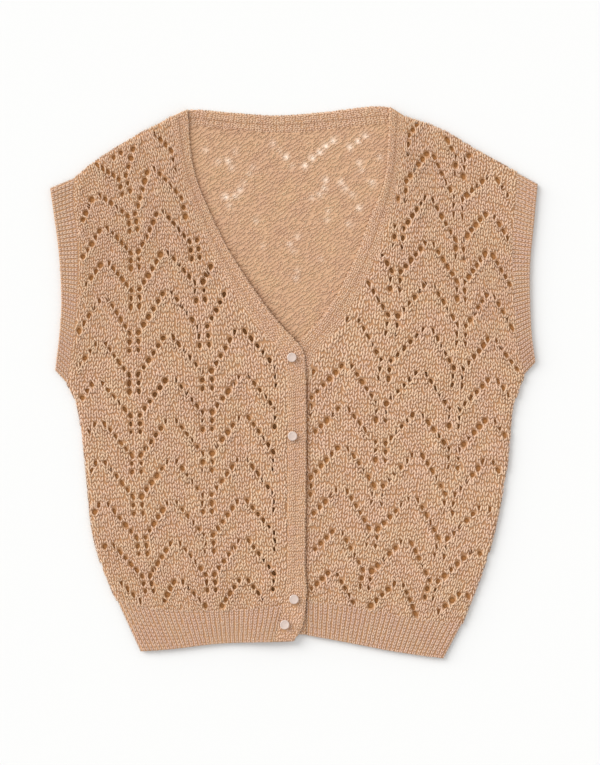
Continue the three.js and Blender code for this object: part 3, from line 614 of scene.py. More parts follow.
def cloth_ground(name, outline, eyelets, shapes, top, bottom, material, pierced=True):
    """The ground of a panel, a thin closed shell with its eyelets open, or else closed over them."""
    rim = outline[::2]
    spacing, corners = NET["spacing"], NET["round_eyelet"]
    turn = np.linspace(0, 2 * math.pi, corners, endpoint=False)
    loops = [oval(e, shape, turn, NET["under_yarns"]) for e, shape in zip(eyelets, shapes)]
    low, high = outline.min(0), outline.max(0)
    x, y = np.meshgrid(np.arange(low[0], high[0], spacing), np.arange(low[1], high[1], spacing * EVEN_ROWS))
    x = x + (np.arange(len(x)) % 2)[:, None] * spacing / 2
    lattice = np.column_stack([x.ravel(), y.ravel()])
    lattice = lattice[inside(outline, lattice)]
    lattice = lattice[distance_to(closed(outline), lattice) > NET["from_rim"]]
    margin = np.vstack([inset(rim, row) for row in NET["rim_rows"]])
    between = np.vstack([margin[inside(outline, margin)], lattice])
    between = between[nearest(eyelets, between) > shapes[:, 1].max() + NET["from_eyelets"]]
    if not pierced:
        between = np.vstack([between, eyelets])
    flat = np.vstack([rim, *loops, between])
    edges = [(k, (k + 1) % len(rim)) for k in range(len(rim))]
    for n in range(len(loops)):
        first = len(rim) + corners * n
        edges += [(first + k, first + (k + 1) % corners) for k in range(corners)]
    points, _, faces, sources, _, _ = delaunay_2d_cdt([Vector(p) for p in flat], edges, [], 0, 1e-4)
    points = np.array([tuple(p) for p in points])
    source = np.array([s[0] if s else -1 for s in sources])
    on_loop = (source >= len(rim)) & (source < len(rim) + corners * len(loops))
    loop = np.where(on_loop, (source - len(rim)) // corners, -1)
    faces = np.array(faces)
    owners = loop[faces]
    in_eyelet = (owners[:, 0] >= 0) & (owners[:, 0] == owners[:, 1]) & (owners[:, 0] == owners[:, 2])
    if pierced:
        faces = faces[~in_eyelet]
    faces = faces[inside(rim, points[faces].mean(1))]
    a, b, c = points[faces[:, 0]], points[faces[:, 1]], points[faces[:, 2]]
    turned = (b[:, 0] - a[:, 0]) * (c[:, 1] - a[:, 1]) - (b[:, 1] - a[:, 1]) * (c[:, 0] - a[:, 0]) < 0
    faces[turned] = faces[turned][:, ::-1]
    sides = {}
    for f in faces.tolist():
        for p, q in ((f[0], f[1]), (f[1], f[2]), (f[2], f[0])):
            if sides.pop((q, p), None) is None:
                sides[(p, q)] = True
    count = len(points)
    upper = np.column_stack([points, top(points)])
    lower = np.column_stack([points, bottom(points)])
    shell = [tuple(f) for f in faces.tolist()]
    shell += [(f[0] + count, f[2] + count, f[1] + count) for f in faces.tolist()]
    shell += [(q, p, p + count, q + count) for p, q in sides]
    return make_mesh(name, np.vstack([upper, lower]), shell, material)


def inset(outline, distance):
    """A closed outline that runs counter-clockwise, moved inwards."""
    before, after = outline - np.roll(outline, 1, axis=0), np.roll(outline, -1, axis=0) - outline
    before = before / np.linalg.norm(before, axis=1)[:, None]
    after = after / np.linalg.norm(after, axis=1)[:, None]
    normal = np.column_stack([-(before + after)[:, 1], (before + after)[:, 0]])
    return outline + distance * normal / np.linalg.norm(normal, axis=1)[:, None]


def add(tree, kind, settings=None, **links):
    """Adds a node, with its settings, and a value or a link for each input that links names."""
    node = tree.nodes.new(kind)
    for name, value in (settings or {}).items():
        setattr(node, name, value)
    for name, value in links.items():
        key = name.replace("_", " ")
        socket = node.inputs[int(key[5:])] if key.startswith("input") else node.inputs[key]
        if isinstance(value, bpy.types.NodeSocket):
            tree.links.new(value, socket)
        else:
            socket.default_value = value
    return node


def stitch_tree():
    """One stitch of two tapered yarns on each point, slightly uneven, like hand knitting."""
    tree = bpy.data.node_groups.new("Stitches", "GeometryNodeTree")
    sockets = [
        ("Stitches", "NodeSocketGeometry"), ("Start", "NodeSocketVector"), ("Bend", "NodeSocketVector"),
        ("End", "NodeSocketVector"), ("Mirror", "NodeSocketVector"), ("Yarn Radius", "NodeSocketFloat"),
        ("Segments", "NodeSocketInt"), ("Unevenness", "NodeSocketFloat"), ("Seed", "NodeSocketInt"),
        ("Material", "NodeSocketMaterial"),
    ]
    for name, kind in sockets:
        tree.interface.new_socket(name, in_out="INPUT", socket_type=kind)
    tree.interface.new_socket("Knitting", in_out="OUTPUT", socket_type="NodeSocketGeometry")
    given = tree.nodes.new("NodeGroupInput").outputs
    yarns = []
    for mirrored in (False, True):
        ends = [given["Start"], given["Bend"], given["End"]]
        if mirrored:
            ends = [
                add(tree, "ShaderNodeVectorMath", {"operation": "MULTIPLY"}, input0=e, input1=given["Mirror"])
                .outputs[0] for e in ends
            ]
        yarn = add(tree, "GeometryNodeCurveQuadraticBezier", Resolution=given["Segments"],
                   Start=ends[0], Middle=ends[1], End=ends[2])
        yarns.append(yarn.outputs[0])
    both = tree.nodes.new("GeometryNodeJoinGeometry")
    for yarn in yarns:
        tree.links.new(yarn, both.inputs[0])
    factor = tree.nodes.new("GeometryNodeSplineParameter").outputs["Factor"]
    rest = add(tree, "ShaderNodeMath", {"operation": "SUBTRACT"}, input0=1.0, input1=factor)
    hump = add(tree, "ShaderNodeMath", {"operation": "MULTIPLY"}, input0=factor, input1=rest.outputs[0])
    share = add(tree, "ShaderNodeMath", {"operation": "MULTIPLY"}, input0=hump.outputs[0], input1=4.0)
    taper = add(tree, "ShaderNodeMath", {"operation": "POWER"}, input0=share.outputs[0], input1=0.5)
    marked = add(tree, "GeometryNodeStoreNamedAttribute", {"data_type": "FLOAT", "domain": "POINT"},
                 Geometry=both.outputs[0], Name="yarn_run", Value=factor)
    section = add(tree, "GeometryNodeCurvePrimitiveCircle", Resolution=4, Radius=given["Yarn Radius"])
    tube = add(tree, "GeometryNodeCurveToMesh", Curve=marked.outputs[0], Scale=taper.outputs[0])
    tree.links.new(section.outputs[0], tube.inputs["Profile Curve"])
    closed_ends = add(tree, "GeometryNodeMergeByDistance", Geometry=tube.outputs[0], Distance=1e-5)

    def chance(low, high, extra):
        seed = add(tree, "FunctionNodeIntegerMath", {"operation": "ADD"}, input0=given["Seed"], input1=extra)
        return add(tree, "FunctionNodeRandomValue", {"data_type": "FLOAT"}, input2=low, input3=high,
                   Seed=seed.outputs[0]).outputs[1]

    turn = add(tree, "ShaderNodeMath", {"operation": "MULTIPLY"}, input0=chance(-1.0, 1.0, 1),
               input1=given["Unevenness"])
    turned = add(tree, "ShaderNodeCombineXYZ", Z=turn.outputs[0])
    size = add(tree, "ShaderNodeMath", {"operation": "MULTIPLY_ADD"}, input0=chance(-0.5, 0.5, 2),
               input1=given["Unevenness"], input2=1.0)
    rotation = add(tree, "FunctionNodeEulerToRotation", input0=turned.outputs[0])
    placed = add(tree, "GeometryNodeInstanceOnPoints", Points=given["Stitches"],
                 Instance=closed_ends.outputs[0], Rotation=rotation.outputs[0], Scale=size.outputs[0])
    toned = add(tree, "GeometryNodeStoreNamedAttribute", {"data_type": "FLOAT", "domain": "INSTANCE"},
                Geometry=placed.outputs[0], Name="stitch_tone", Value=chance(0.0, 1.0, 3))
    joined = add(tree, "GeometryNodeRealizeInstances", Geometry=toned.outputs[0])
    finished = add(tree, "GeometryNodeSetMaterial", Geometry=joined.outputs[0], Material=given["Material"])
    tree.links.new(finished.outputs[0], tree.nodes.new("NodeGroupOutput").inputs[0])
    return tree


STITCHES = stitch_tree()

# How the yarns of a stitch run inside its cell, as shares of the cell: a knit V, and the slanting
# bumps of the cloth's other side.
KNIT = {"start": (0.04, -0.74, -0.06), "bend": (0.24, -0.02, 0.18), "end": (0.45, 0.74, -0.07),
        "mirror": (-1, 1, 1)}
PURL = {"start": (-0.31, -0.62, -0.06), "bend": (-0.15, -0.26, 0.12), "end": (0.04, 0.06, -0.05),
        "mirror": (-1, -1, 1)}

# Places along a knit yarn, as such shares across and up, that have to keep clear of the eyelets.
KNIT_PATH = ((0.12, -0.45), (0.18, -0.23), (0.24, -0.01), (0.3, 0.21), (0.37, 0.44))


def yarn_middles(points, run, stitches):
    """For each point of the yarns, two to a stitch, the middle of its yarn there."""
    yarns = points.reshape(stitches * 2, -1, 3)
    steps = np.round(run[:yarns.shape[1]], 3)
    middles = np.empty_like(yarns)
    for step in np.unique(steps):
        ring = steps == step
        middles[:, ring] = yarns[:, ring].mean(1, keepdims=True)
    return middles.reshape(-1, 3)


def knit(name, cells, gauge, form, lay, material, segments=4, unevenness=0.26, seed=1, jitter=0.07):
    """Knits a stitch near each flat cell position, and lays the flat knitting on the cloth."""
    chance = np.random.default_rng(seed)
    cells = cells + chance.normal(0, jitter * gauge["width"], cells.shape)
    flat = bpy.data.meshes.new(name)
    flat.from_pydata([(x * MM, y * MM, 0) for x, y in cells.tolist()], [], [])
    piece = bpy.data.objects.new(name, flat)
    bpy.context.collection.objects.link(piece)
    size = np.array([gauge["width"], gauge["height"], gauge["width"]]) * MM
    values = {
        "Start": np.array(form["start"]) * size,
        "Bend": np.array(form["bend"]) * size,
        "End": np.array(form["end"]) * size,
        "Mirror": np.array(form["mirror"], float),
        "Yarn Radius": gauge["yarn"] * MM,
        "Segments": segments,
        "Unevenness": unevenness,
        "Seed": seed,
        "Material": material,
    }
    modifier = piece.modifiers.new("Stitches", "NODES")
    modifier.node_group = STITCHES
    for item in STITCHES.interface.items_tree:
        if item.in_out == "INPUT" and item.name in values:
            value = values[item.name]
            modifier[item.identifier] = value.tolist() if isinstance(value, np.ndarray) else value
    knitted = bpy.data.meshes.new_from_object(piece.evaluated_get(bpy.context.evaluated_depsgraph_get()))
    piece.modifiers.clear()
    piece.data = knitted
    knitted.name = name
    points = np.empty(len(knitted.vertices) * 3)
    knitted.vertices.foreach_get("co", points)
    points = points.reshape(-1, 3) / MM
    run = np.empty(len(points))
    knitted.attributes["yarn_run"].data.foreach_get("value", run)
    laid = lay(points, yarn_middles(points, run, len(cells))) * MM
    knitted.vertices.foreach_set("co", laid.ravel())
    knitted.polygons.foreach_set("use_smooth", [True] * len(knitted.polygons))
    knitted.update()
    bpy.data.meshes.remove(flat)
    return piece


# Finishes


def linear(hex_colour):
    """An sRGB hex colour as linear RGBA."""
    parts = [int(hex_colour[k:k + 2], 16) / 255 for k in (1, 3, 5)]
    return [c / 12.92 if c <= 0.04045 else ((c + 0.055) / 1.055) ** 2.4 for c in parts] + [1.0]


# Brown that stands in for shade: painted into the wool beside the bands' free edges, along seams and along the
# bands' middle lines.
PAINTED_SHADE_BROWN = "#965A22"

# The wool's pattern: patches of heather about 20 mm wide, fibres of about 1 mm, and the turns of
# twist along a stitch's yarn.
WOOL = {"heather": 45.0, "fibres": 900.0, "twist": 38.0, "twist_height": 0.25}


def wool(name, tan, pink, shade, contrast=0.16, lit="#FFF1E2"):
    """Oat-coloured wool blend yarn, spun and lightly brushed: matt, with soft fibres that catch light
    at a grazing angle. The heather of tan and pinkish fibres changes over 10 to 30 mm, and each
    stitch is a little lighter or darker than the next."""
    material = bpy.data.materials.new(name)
    material.use_nodes = True
    tree = material.node_tree
    tree.nodes.clear()
    place = tree.nodes.new("ShaderNodeTexCoord").outputs["Object"]
    heather = add(tree, "ShaderNodeTexNoise", Vector=place, Scale=WOOL["heather"], Detail=3.0, Roughness=0.6)
    fibres = add(tree, "ShaderNodeTexNoise", Vector=place, Scale=WOOL["fibres"], Detail=3.0, Roughness=0.7)
    spread = add(tree, "ShaderNodeMapRange", input0=heather.outputs[0], input1=0.38, input2=0.62)
    hue = add(tree, "ShaderNodeMix", {"data_type": "RGBA"}, input0=spread.outputs[0],
              input6=linear(tan), input7=linear(pink))
    tone = add(tree, "ShaderNodeAttribute", {"attribute_name": "stitch_tone"})
    mixed = add(tree, "ShaderNodeMath", {"operation": "ADD"}, input0=tone.outputs["Fac"],
                input1=fibres.outputs[0])
    depth = add(tree, "ShaderNodeMapRange", input0=mixed.outputs[0], input1=0.4, input2=1.6,
                input3=contrast * 1.6, input4=0.0)
    colour = add(tree, "ShaderNodeMix", {"data_type": "RGBA"}, input0=depth.outputs[0],
                 input6=hue.outputs[2], input7=linear(shade))
    # Painted light: the colour goes towards lit where light from the paper below is painted through the back's
    # knitting.
    light = add(tree, "ShaderNodeAttribute", {"attribute_name": "light_through"})
    colour = add(tree, "ShaderNodeMix", {"data_type": "RGBA"}, input0=light.outputs["Fac"],
                 input6=colour.outputs[2], input7=linear(lit))
    # Painted shade: the colour goes towards that brown where the attribute read here is set.
    painted_shade = add(tree, "ShaderNodeAttribute", {"attribute_name": "painted_shade"})
    colour = add(tree, "ShaderNodeMix", {"data_type": "RGBA"}, input0=painted_shade.outputs["Fac"],
                 input6=colour.outputs[2], input7=linear(PAINTED_SHADE_BROWN))
    run = add(tree, "ShaderNodeAttribute", {"attribute_name": "yarn_run"})
    twist = add(tree, "ShaderNodeMath", {"operation": "MULTIPLY_ADD"}, input0=run.outputs["Fac"],
                input1=WOOL["twist"], input2=fibres.outputs[0])
    wave = add(tree, "ShaderNodeMath", {"operation": "SINE"}, input0=twist.outputs[0])
    relief = add(tree, "ShaderNodeMath", {"operation": "MULTIPLY_ADD"}, input0=wave.outputs[0],
                 input1=WOOL["twist_height"], input2=fibres.outputs[0])
    bump = add(tree, "ShaderNodeBump", Strength=0.45, Distance=0.0005, Height=relief.outputs[0])
    surface = add(tree, "ShaderNodeBsdfPrincipled", Base_Color=colour.outputs[2], Roughness=0.92,
                  Normal=bump.outputs[0])
    surface.inputs["Specular IOR Level"].default_value = 0.25
    surface.inputs["Sheen Weight"].default_value = 0.12
    surface.inputs["Sheen Roughness"].default_value = 0.45
    surface.inputs["Sheen Tint"].default_value = linear("#E3B284")
    tree.links.new(surface.outputs[0], tree.nodes.new("ShaderNodeOutputMaterial").inputs[0])
    return material


def pearl():
    """Pearly moulded polyester of a shirt button: glossy, pinkish white, a little cloudy."""
    material = bpy.data.materials.new("pearl polyester")
    material.use_nodes = True
    tree = material.node_tree
    tree.nodes.clear()
    place = tree.nodes.new("ShaderNodeTexCoord").outputs["Object"]
    cloud = add(tree, "ShaderNodeTexNoise", Vector=place, Scale=260.0, Detail=2.0, Distortion=1.2)
    colour = add(tree, "ShaderNodeMix", {"data_type": "RGBA"}, input0=cloud.outputs[0],
                 input6=linear("#DAC8BC"), input7=linear("#BFA99E"))
    surface = add(tree, "ShaderNodeBsdfPrincipled", Base_Color=colour.outputs[2], Roughness=0.24, IOR=1.56)
    surface.inputs["Coat Weight"].default_value = 0.4
    surface.inputs["Coat Roughness"].default_value = 0.12
    tree.links.new(surface.outputs[0], tree.nodes.new("ShaderNodeOutputMaterial").inputs[0])
    return material


def paper_white():
    """Seamless studio paper: matt and nearly white."""
    material = bpy.data.materials.new("white studio paper")
    material.use_nodes = True
    surface = material.node_tree.nodes["Principled BSDF"]
    surface.inputs["Base Color"].default_value = linear("#E8E8E7")
    surface.inputs["Roughness"].default_value = 0.95
    surface.inputs["Specular IOR Level"].default_value = 0.1
    return material


LACE_YARN = wool("oat wool yarn, lace", "#E2C3A4", "#E2C0A7", "#B28866", contrast=0.18)
RIB_YARN = wool("oat wool yarn, rib", "#D9BBA2", "#D9B8A4", "#AC8467", contrast=0.12)
BAND_YARN = wool("oat wool yarn, dense", "#E1C0A1", "#E0BCA2", "#AD8260", contrast=0.14)
INNER_YARN = wool("oat wool yarn, inner side", "#DABB98", "#D8B498", "#A87A53", contrast=0.2, lit="#FFEEDC")
# The grounds are coloured darker and browner than their yarns: painted shade between the yarns, and on the
# back's inner side also the shade seen through the fronts' eyelets above it.
INNER_WOOL = wool("oat wool, inner side", "#C68C53", "#C08652", "#93602F", contrast=0.12, lit="#FFEEDC")
GROUND_WOOL = wool("oat wool, deep between the yarns", "#C1936B", "#BC8E69", "#926845")
RIB_GROUND = wool("oat wool ground, darkened as painted shade between the ribs", "#C89C74", "#C49772", "#9C6F4A")
BAND_GROUND = wool("oat wool, deep between dense stitches", "#CCA17B", "#C89C78", "#A0744E")
PEARL = pearl()


# Pieces of the vest


def finish_piece(piece):
    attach(piece, "root")
    return piece


def cut_strip(strip):
    """Takes the mean width of a rib's or a band's strip, which is cut straight, and keeps nothing of it."""
    width = strip.width(np.linspace(0, 1, 60)).mean()


def beside_eyelets(panel, flat, middles):
    """Where points of flat lace knitting lie in a panel, with each yarn moved whole out of the eyelets."""
    gauge = np.array([LACE_GAUGE["width"], LACE_GAUGE["height"]])
    lines = panel.place(middles[:, :2] / gauge)
    return panel.place(flat[:, :2] / gauge) + panel.opened(lines) - lines


def lay_on(panel, yarn_height):
    """Lays flat lace knitting on the top of a panel."""

    def lay(flat, middles):
        xy = held_in(panel.outline, beside_eyelets(panel, flat, middles), YARN_MARGIN)
        base, share = panel.base.at(xy), panel.round.at(xy)
        rise = base[:, :1] - SIDE_SEAM + (1 - EDGE_SHARE) * GROUND
        slope = base[:, 1:] * share[:, :1] + rise * share[:, 1:]
        normal = np.column_stack([-slope, np.ones(len(xy))])
        normal /= np.linalg.norm(normal, axis=1)[:, None]
        return np.column_stack([xy, panel.top(xy)]) + normal * (flat[:, 2:] + yarn_height)

    return lay


def lace_front(name, panel, node, seed, shade_paint_lines=()):
    """A front: its ground with the eyelets open, and its knitting in a lower and an upper part."""
    ground = cloth_ground(
        name + "_ground", panel.outline, panel.eyelets, panel.holes, panel.top, panel.bottom, GROUND_WOOL,
    )
    cells = panel.stitches(over=2.0)
    middle = np.median(cells[:, 1])
    gauge = np.array([LACE_GAUGE["width"], LACE_GAUGE["height"]])
    parts = []
    for part, chosen in (("lower", cells[:, 1] < middle), ("upper", cells[:, 1] >= middle)):
        parts.append(finish_piece(knit(
            f"{name}_knitting_{part}", cells[chosen] * gauge, LACE_GAUGE, KNIT,
            lay_on(panel, 0.15), LACE_YARN, segments=3, seed=seed, unevenness=0.3, jitter=0.095,
        )))
    finish_piece(ground)
    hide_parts(node)
    # Painted shade beside the given lines.
    if shade_paint_lines:
        for piece in (ground, *parts):
            mark(piece, "painted_shade", paint_shade_beside(*shade_paint_lines))


def right_front():
    panel = Panel(
        [RIGHT["hem_seam"], RIGHT["band_seam"], RIGHT["shoulder"], RIGHT["armhole_seam"], RIGHT["side"]],
        [RIGHT["side"], RIGHT["shoulder"]], front_chart(RIGHT_CHEVRONS), (-1, 0, 1), right_low, 0.164, -1,
    )
    lace_front("right_front", panel, "front_right_panel", seed=11)


def left_front():
    panel = Panel(
        [LEFT["hem_seam"], LEFT["side"][::-1], LEFT["armhole_seam"][::-1], LEFT["shoulder"][::-1],
         LEFT["band_seam"][::-1]],
        [LEFT["side"], LEFT["shoulder"]], front_chart(LEFT_CHEVRONS), (-1, 0, 1), left_low, 0.156,
    )
    # Painted shade on the left front, along the free edge of the right band that lies on it.
    fastened = RIGHT_BAND_EDGE[RIGHT_BAND_EDGE[:, 1] < 44] + np.array([1.0, 0.0])
    lace_front("left_front", panel, "front_left_panel", seed=12, shade_paint_lines=[(fastened, 0.6, 2.3)])


def mark(piece, attribute, strength):
    """Keeps a strength, given by a function of the place in the cloth, as an attribute of a piece."""
    points = np.empty(len(piece.data.vertices) * 3)
    piece.data.vertices.foreach_get("co", points)
    values = strength(points.reshape(-1, 3)[:, :2] / MM)
    piece.data.attributes.new(attribute, "FLOAT", "POINT").data.foreach_set("value", values)


def light_from_below(spots, width, between=0.0):
    """How much light from the paper below comes through the knitting at each place."""

    def strength(xy):
        light = [w * np.exp(-(((xy - s) ** 2).sum(1) / SPOT_RADIUS**2)) for s, w in zip(spots, width)]
        return np.maximum(np.max(light, axis=0), between * in_neck(xy))

    return strength


def paint_shade_beside(*lines):
    """How strongly painted shade darkens each place beside lines, each with its strength and width."""

    def strength(xy):
        shade_strengths = [w * np.exp(-((distance_to(line, xy) / wide) ** 2)) for line, w, wide in lines]
        return np.max(shade_strengths, axis=0)

    return strength


def in_neck(xy):
    """Which points show in the neck opening, and a little way under the bands round it."""
    neck = np.vstack([RIGHT_BAND_EDGE, LEFT_BAND_EDGE[::-1]])
    near = inside(neck, xy) | (distance_to(closed(neck), xy) < UNDER_BANDS)
    return near & (xy[:, 1] > NECK_TIP)


# The back, in mm: the heights of its ground's under and upper side, how far both stay inside the side
# seams, how high its yarns lie, and the size of a spot of light and the clear ground round it. Its
# underside is pressed flatter than its stitches.
BACK = {"under": 0.62, "over": 1.65, "under_in_seam": 0.3, "over_in_seam": 0.15, "yarn": 0.1,
        "spot": (1.9, 2.1), "round_spot": 1.7, "pressed": 0.6, "inner_margin": 0.8,
        "columns": (-4, -3, -2, -1, 0, 1, 2), "arm_step": 0.16}
YARN_MARGIN = 1.3  # how far a yarn's points stay inside a panel's outline


def back():
    """The back: flat on the surface, with purl bumps where the neck shows its inner side and
    flattened stitches on its underside."""
    stretches = [BACK_HEM_SEAM, LEFT["side"][::-1], LEFT["armhole_seam"][::-1], BACK_SHOULDER_LEFT[::-1],
                 NECKBAND_SEAM[::-1], BACK_SHOULDER_RIGHT, RIGHT["armhole_seam"], RIGHT["side"]]
    folds = [LEFT["side"], RIGHT["side"], BACK_SHOULDER_LEFT, BACK_SHOULDER_RIGHT]
    panel = Panel(stretches, folds, back_chart, BACK["columns"], back_low, BACK["arm_step"])
    under, over = BACK["under"], BACK["over"]

    def top(xy):
        return over + (SIDE_SEAM - BACK["over_in_seam"] - over) * (1 - panel.round.at(xy)[:, 0])

    def bottom(xy):
        return under + (SIDE_SEAM - BACK["under_in_seam"] - under) * (1 - panel.round.at(xy)[:, 0])

    spots = np.array([spot[:2] for spot in NECK_EYELETS], float)
    open_width = np.array([spot[2] for spot in NECK_EYELETS])
    across, tall = BACK["spot"]
    shapes = np.column_stack([across * open_width, tall * open_width, np.zeros(len(spots))])
    ground = cloth_ground("back_ground", panel.outline, spots, shapes, top, bottom, INNER_WOOL, pierced=False)
    gauge = np.array([LACE_GAUGE["width"], LACE_GAUGE["height"]])

    def clear_of_spots(xy, gap):
        return np.min([np.linalg.norm(xy - s, axis=1) - gap * w for s, w in zip(spots, open_width)], axis=0) > 0

    def lay_inner(flat, _):
        xy = held_in(panel.outline, flat[:, :2], BACK["inner_margin"])
        return np.column_stack([xy, top(xy) + flat[:, 2] + BACK["yarn"]])

    def lay_outer(flat, middles):
        xy = held_in(panel.outline, beside_eyelets(panel, flat, middles), YARN_MARGIN)
        z = bottom(xy) - BACK["yarn"] - flat[:, 2] * BACK["pressed"]
        return np.column_stack([xy, np.maximum(z, 0.0)])

    low, high = panel.outline.min(0), panel.outline.max(0)
    size = np.array([INNER_GAUGE["width"], INNER_GAUGE["height"]])
    count = np.ceil((high - low) / size).astype(int)
    i, j = np.meshgrid(np.arange(count[0]), np.arange(count[1]), indexing="ij")
    bumps = low + np.column_stack([i.ravel() + 0.5 * (j.ravel() % 2), j.ravel()]) * size
    bumps = bumps[inside(panel.outline, bumps) & in_neck(bumps)]
    bumps = bumps[clear_of_spots(bumps, BACK["round_spot"])]
    inner = knit("back_purl_side", bumps, INNER_GAUGE, PURL, lay_inner, INNER_YARN, segments=3,
                 unevenness=0.35, seed=21, jitter=0.11)
    # Painted shade on the back's inner side, where the bands and the neckband's seam would shade it.
    shade_paint_lines = paint_shade_beside((RIGHT_BAND_EDGE, 0.55, 4.0), (LEFT_BAND_EDGE, 0.25, 2.5),
                            (NECKBAND_SEAM, 0.35, 1.8))
    mark(ground, "light_through", light_from_below(spots, open_width, between=0.25))
    mark(inner, "light_through", light_from_below(spots, open_width))
    mark(inner, "painted_shade", shade_paint_lines)
    cells = panel.stitches(over=2.0)
    middle = np.median(cells[:, 1])
    for part, chosen in (("lower", cells[:, 1] < middle), ("upper", cells[:, 1] >= middle)):
        outer = knit(f"back_knit_side_{part}", cells[chosen] * gauge, LACE_GAUGE, KNIT, lay_outer, LACE_YARN,
                     segments=2, seed=22)
        outer.data.flip_normals()
        finish_piece(outer)
    finish_piece(inner)
    finish_piece(ground)
    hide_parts("back_panel")


class Strip:
    """A band of knit between its seam and its free edge, where it rounds to its underside.
    ribs is the number of ribs across it, side is -1 for a layer that lies face down, line is the depth
    of the line along its middle, and dip the depth beside its seam."""

    RADIUS = GROUND / 2
    LINE = {"at": 0.46, "width": 0.9}
    SEAM = {"dip_width": 1.4, "dip_past": 0.3}
    RIBS_FADE = 4  # over the last of the width, towards the edge
    STEP = 3.0
    STEPS_IN_RIB = 6
    SEAM_SECTION = (-1.2, 0.2, 1.4, 2.6)
    FLAT_SECTION = {"from": 4.5, "points": 5}
    EDGE_SECTION = {"from": 0.15, "points": 6}

    def __init__(self, seam, edge, low, ribs=0, side=1, fold_ends=(False, False), line=0.0, dip=0.0):
        self.seam, self.edge, self.low = seam, edge, low
        self.ribs, self.side, self.fold_ends, self.line, self.dip = ribs, side, fold_ends, line, dip
        self.length = (length_of(seam) + length_of(edge)) / 2

    def width(self, share):
        return np.linalg.norm(along(self.edge, share) - along(self.seam, share), axis=1)

    def place(self, share, across, above):
        """Points at shares of the length, at distances across from the seam, and this far above the
        ground. Past the edge they go round it."""
        a, b = along(self.seam, share), along(self.edge, share)
        width = np.linalg.norm(b - a, axis=1)
        outwards = (b - a) / width[:, None]
        radius = self.RADIUS
        round_from = width - radius
        angle = np.clip((across - round_from) / radius, 0, math.pi)
        reach = np.where(across < round_from, across, round_from + radius * np.sin(angle))
        spread = np.where(across < round_from, 0, np.sin(angle))
        up = np.where(across < round_from, 1, np.cos(angle))
        xy = a + outwards * (reach + above * spread)[:, None]
        inner = np.clip((width - across) / self.RIBS_FADE, 0, 1)
        dip = self.dip * np.exp(-((across / self.SEAM["dip_width"]) ** 2))
        dip += self.SEAM["dip_past"] * ease(-across)
        dip += self.line * np.exp(-(((across - self.LINE["at"] * width) / self.LINE["width"]) ** 2))
        wave = RIB_DEPTH / 2 * (np.cos(2 * math.pi * share * self.ribs) - 1) * inner if self.ribs else 0
        layer = radius + up * radius + (wave - dip) * np.clip(up, 0, 1) + above * up
        low = self.low(xy)
        ends = self.roundness(share)
        if self.side > 0:
            z = SIDE_SEAM + (low + layer - SIDE_SEAM) * ends
        else:
            z = SIDE_SEAM + (low + WALL - layer - SIDE_SEAM) * ends
        return np.column_stack([xy, np.maximum(z, 0)])

    def roundness(self, share):
        """1 along the strip, and down to 0 at an end that is folded."""
        result = np.ones(len(share))
        for folded, away in zip(self.fold_ends, (share, 1 - share)):
            if folded:
                part = np.clip(away * self.length / FOLD_RADIUS, 0, 1)
                result = np.minimum(result, np.sqrt(1 - (1 - part) ** 2))
        return result

    def ground(self, name, material):
        """The closed ground of the strip."""
        count = self.ribs * self.STEPS_IN_RIB if self.ribs else round(self.length / self.STEP)
        shares = np.linspace(0, 1, count + 1)
        widths = self.width(shares)
        radius = self.RADIUS
        quarters = np.linspace(self.EDGE_SECTION["from"], 1, self.EDGE_SECTION["points"])
        sections = []
        for share, width in zip(shares, widths):
            flat = np.linspace(self.FLAT_SECTION["from"], width - radius, self.FLAT_SECTION["points"])
            turned = width - radius + radius * quarters * math.pi
            across = np.concatenate([self.SEAM_SECTION, flat, turned])
            top = self.place(np.full(len(across), share), across, np.zeros(len(across)))
            under = self.place(np.full(1, share), np.array(self.SEAM_SECTION[:1]), np.zeros(1))
            low = self.low(under[:, :2])[0]
            if self.side < 0:
                low = low + WALL
            ends_round = self.roundness(np.array([share]))[0]
            under[0, 2] = SIDE_SEAM + (low - SIDE_SEAM) * ends_round
            sections.append(np.vstack([top, under]))
        points = np.vstack(sections)
        size = len(sections[0])
        faces = [
            (s * size + k, s * size + (k + 1) % size, (s + 1) * size + (k + 1) % size, (s + 1) * size + k)
            for s in range(count)
            for k in range(size)
        ]
        faces.append(tuple(reversed(range(size))))
        faces.append(tuple(count * size + k for k in range(size)))
        piece = make_mesh(name, points, faces, material)
        face_outwards(piece)
        return piece


def face_outwards(piece):
    """Turns a closed mesh's faces outwards if they point in."""
    mesh = piece.data
    mesh.calc_loop_triangles()
    corners = np.array([v.co for v in mesh.vertices])
    triangles = np.empty(len(mesh.loop_triangles) * 3, int)
    mesh.loop_triangles.foreach_get("vertices", triangles)
    a, b, c = (corners[triangles.reshape(-1, 3)[:, k]] for k in range(3))
    if (a * np.cross(b, c)).sum() < 0:
        mesh.flip_normals()


# A rib's knit column: its share of the rib's width, how far it reaches past the free edge, how high its
# yarns lie and how much its stitches vary.
RIB_COLUMN = {"width": 0.76, "past_edge": 0.3, "yarn": 0.12, "unevenness": 0.14, "jitter": 0.06}


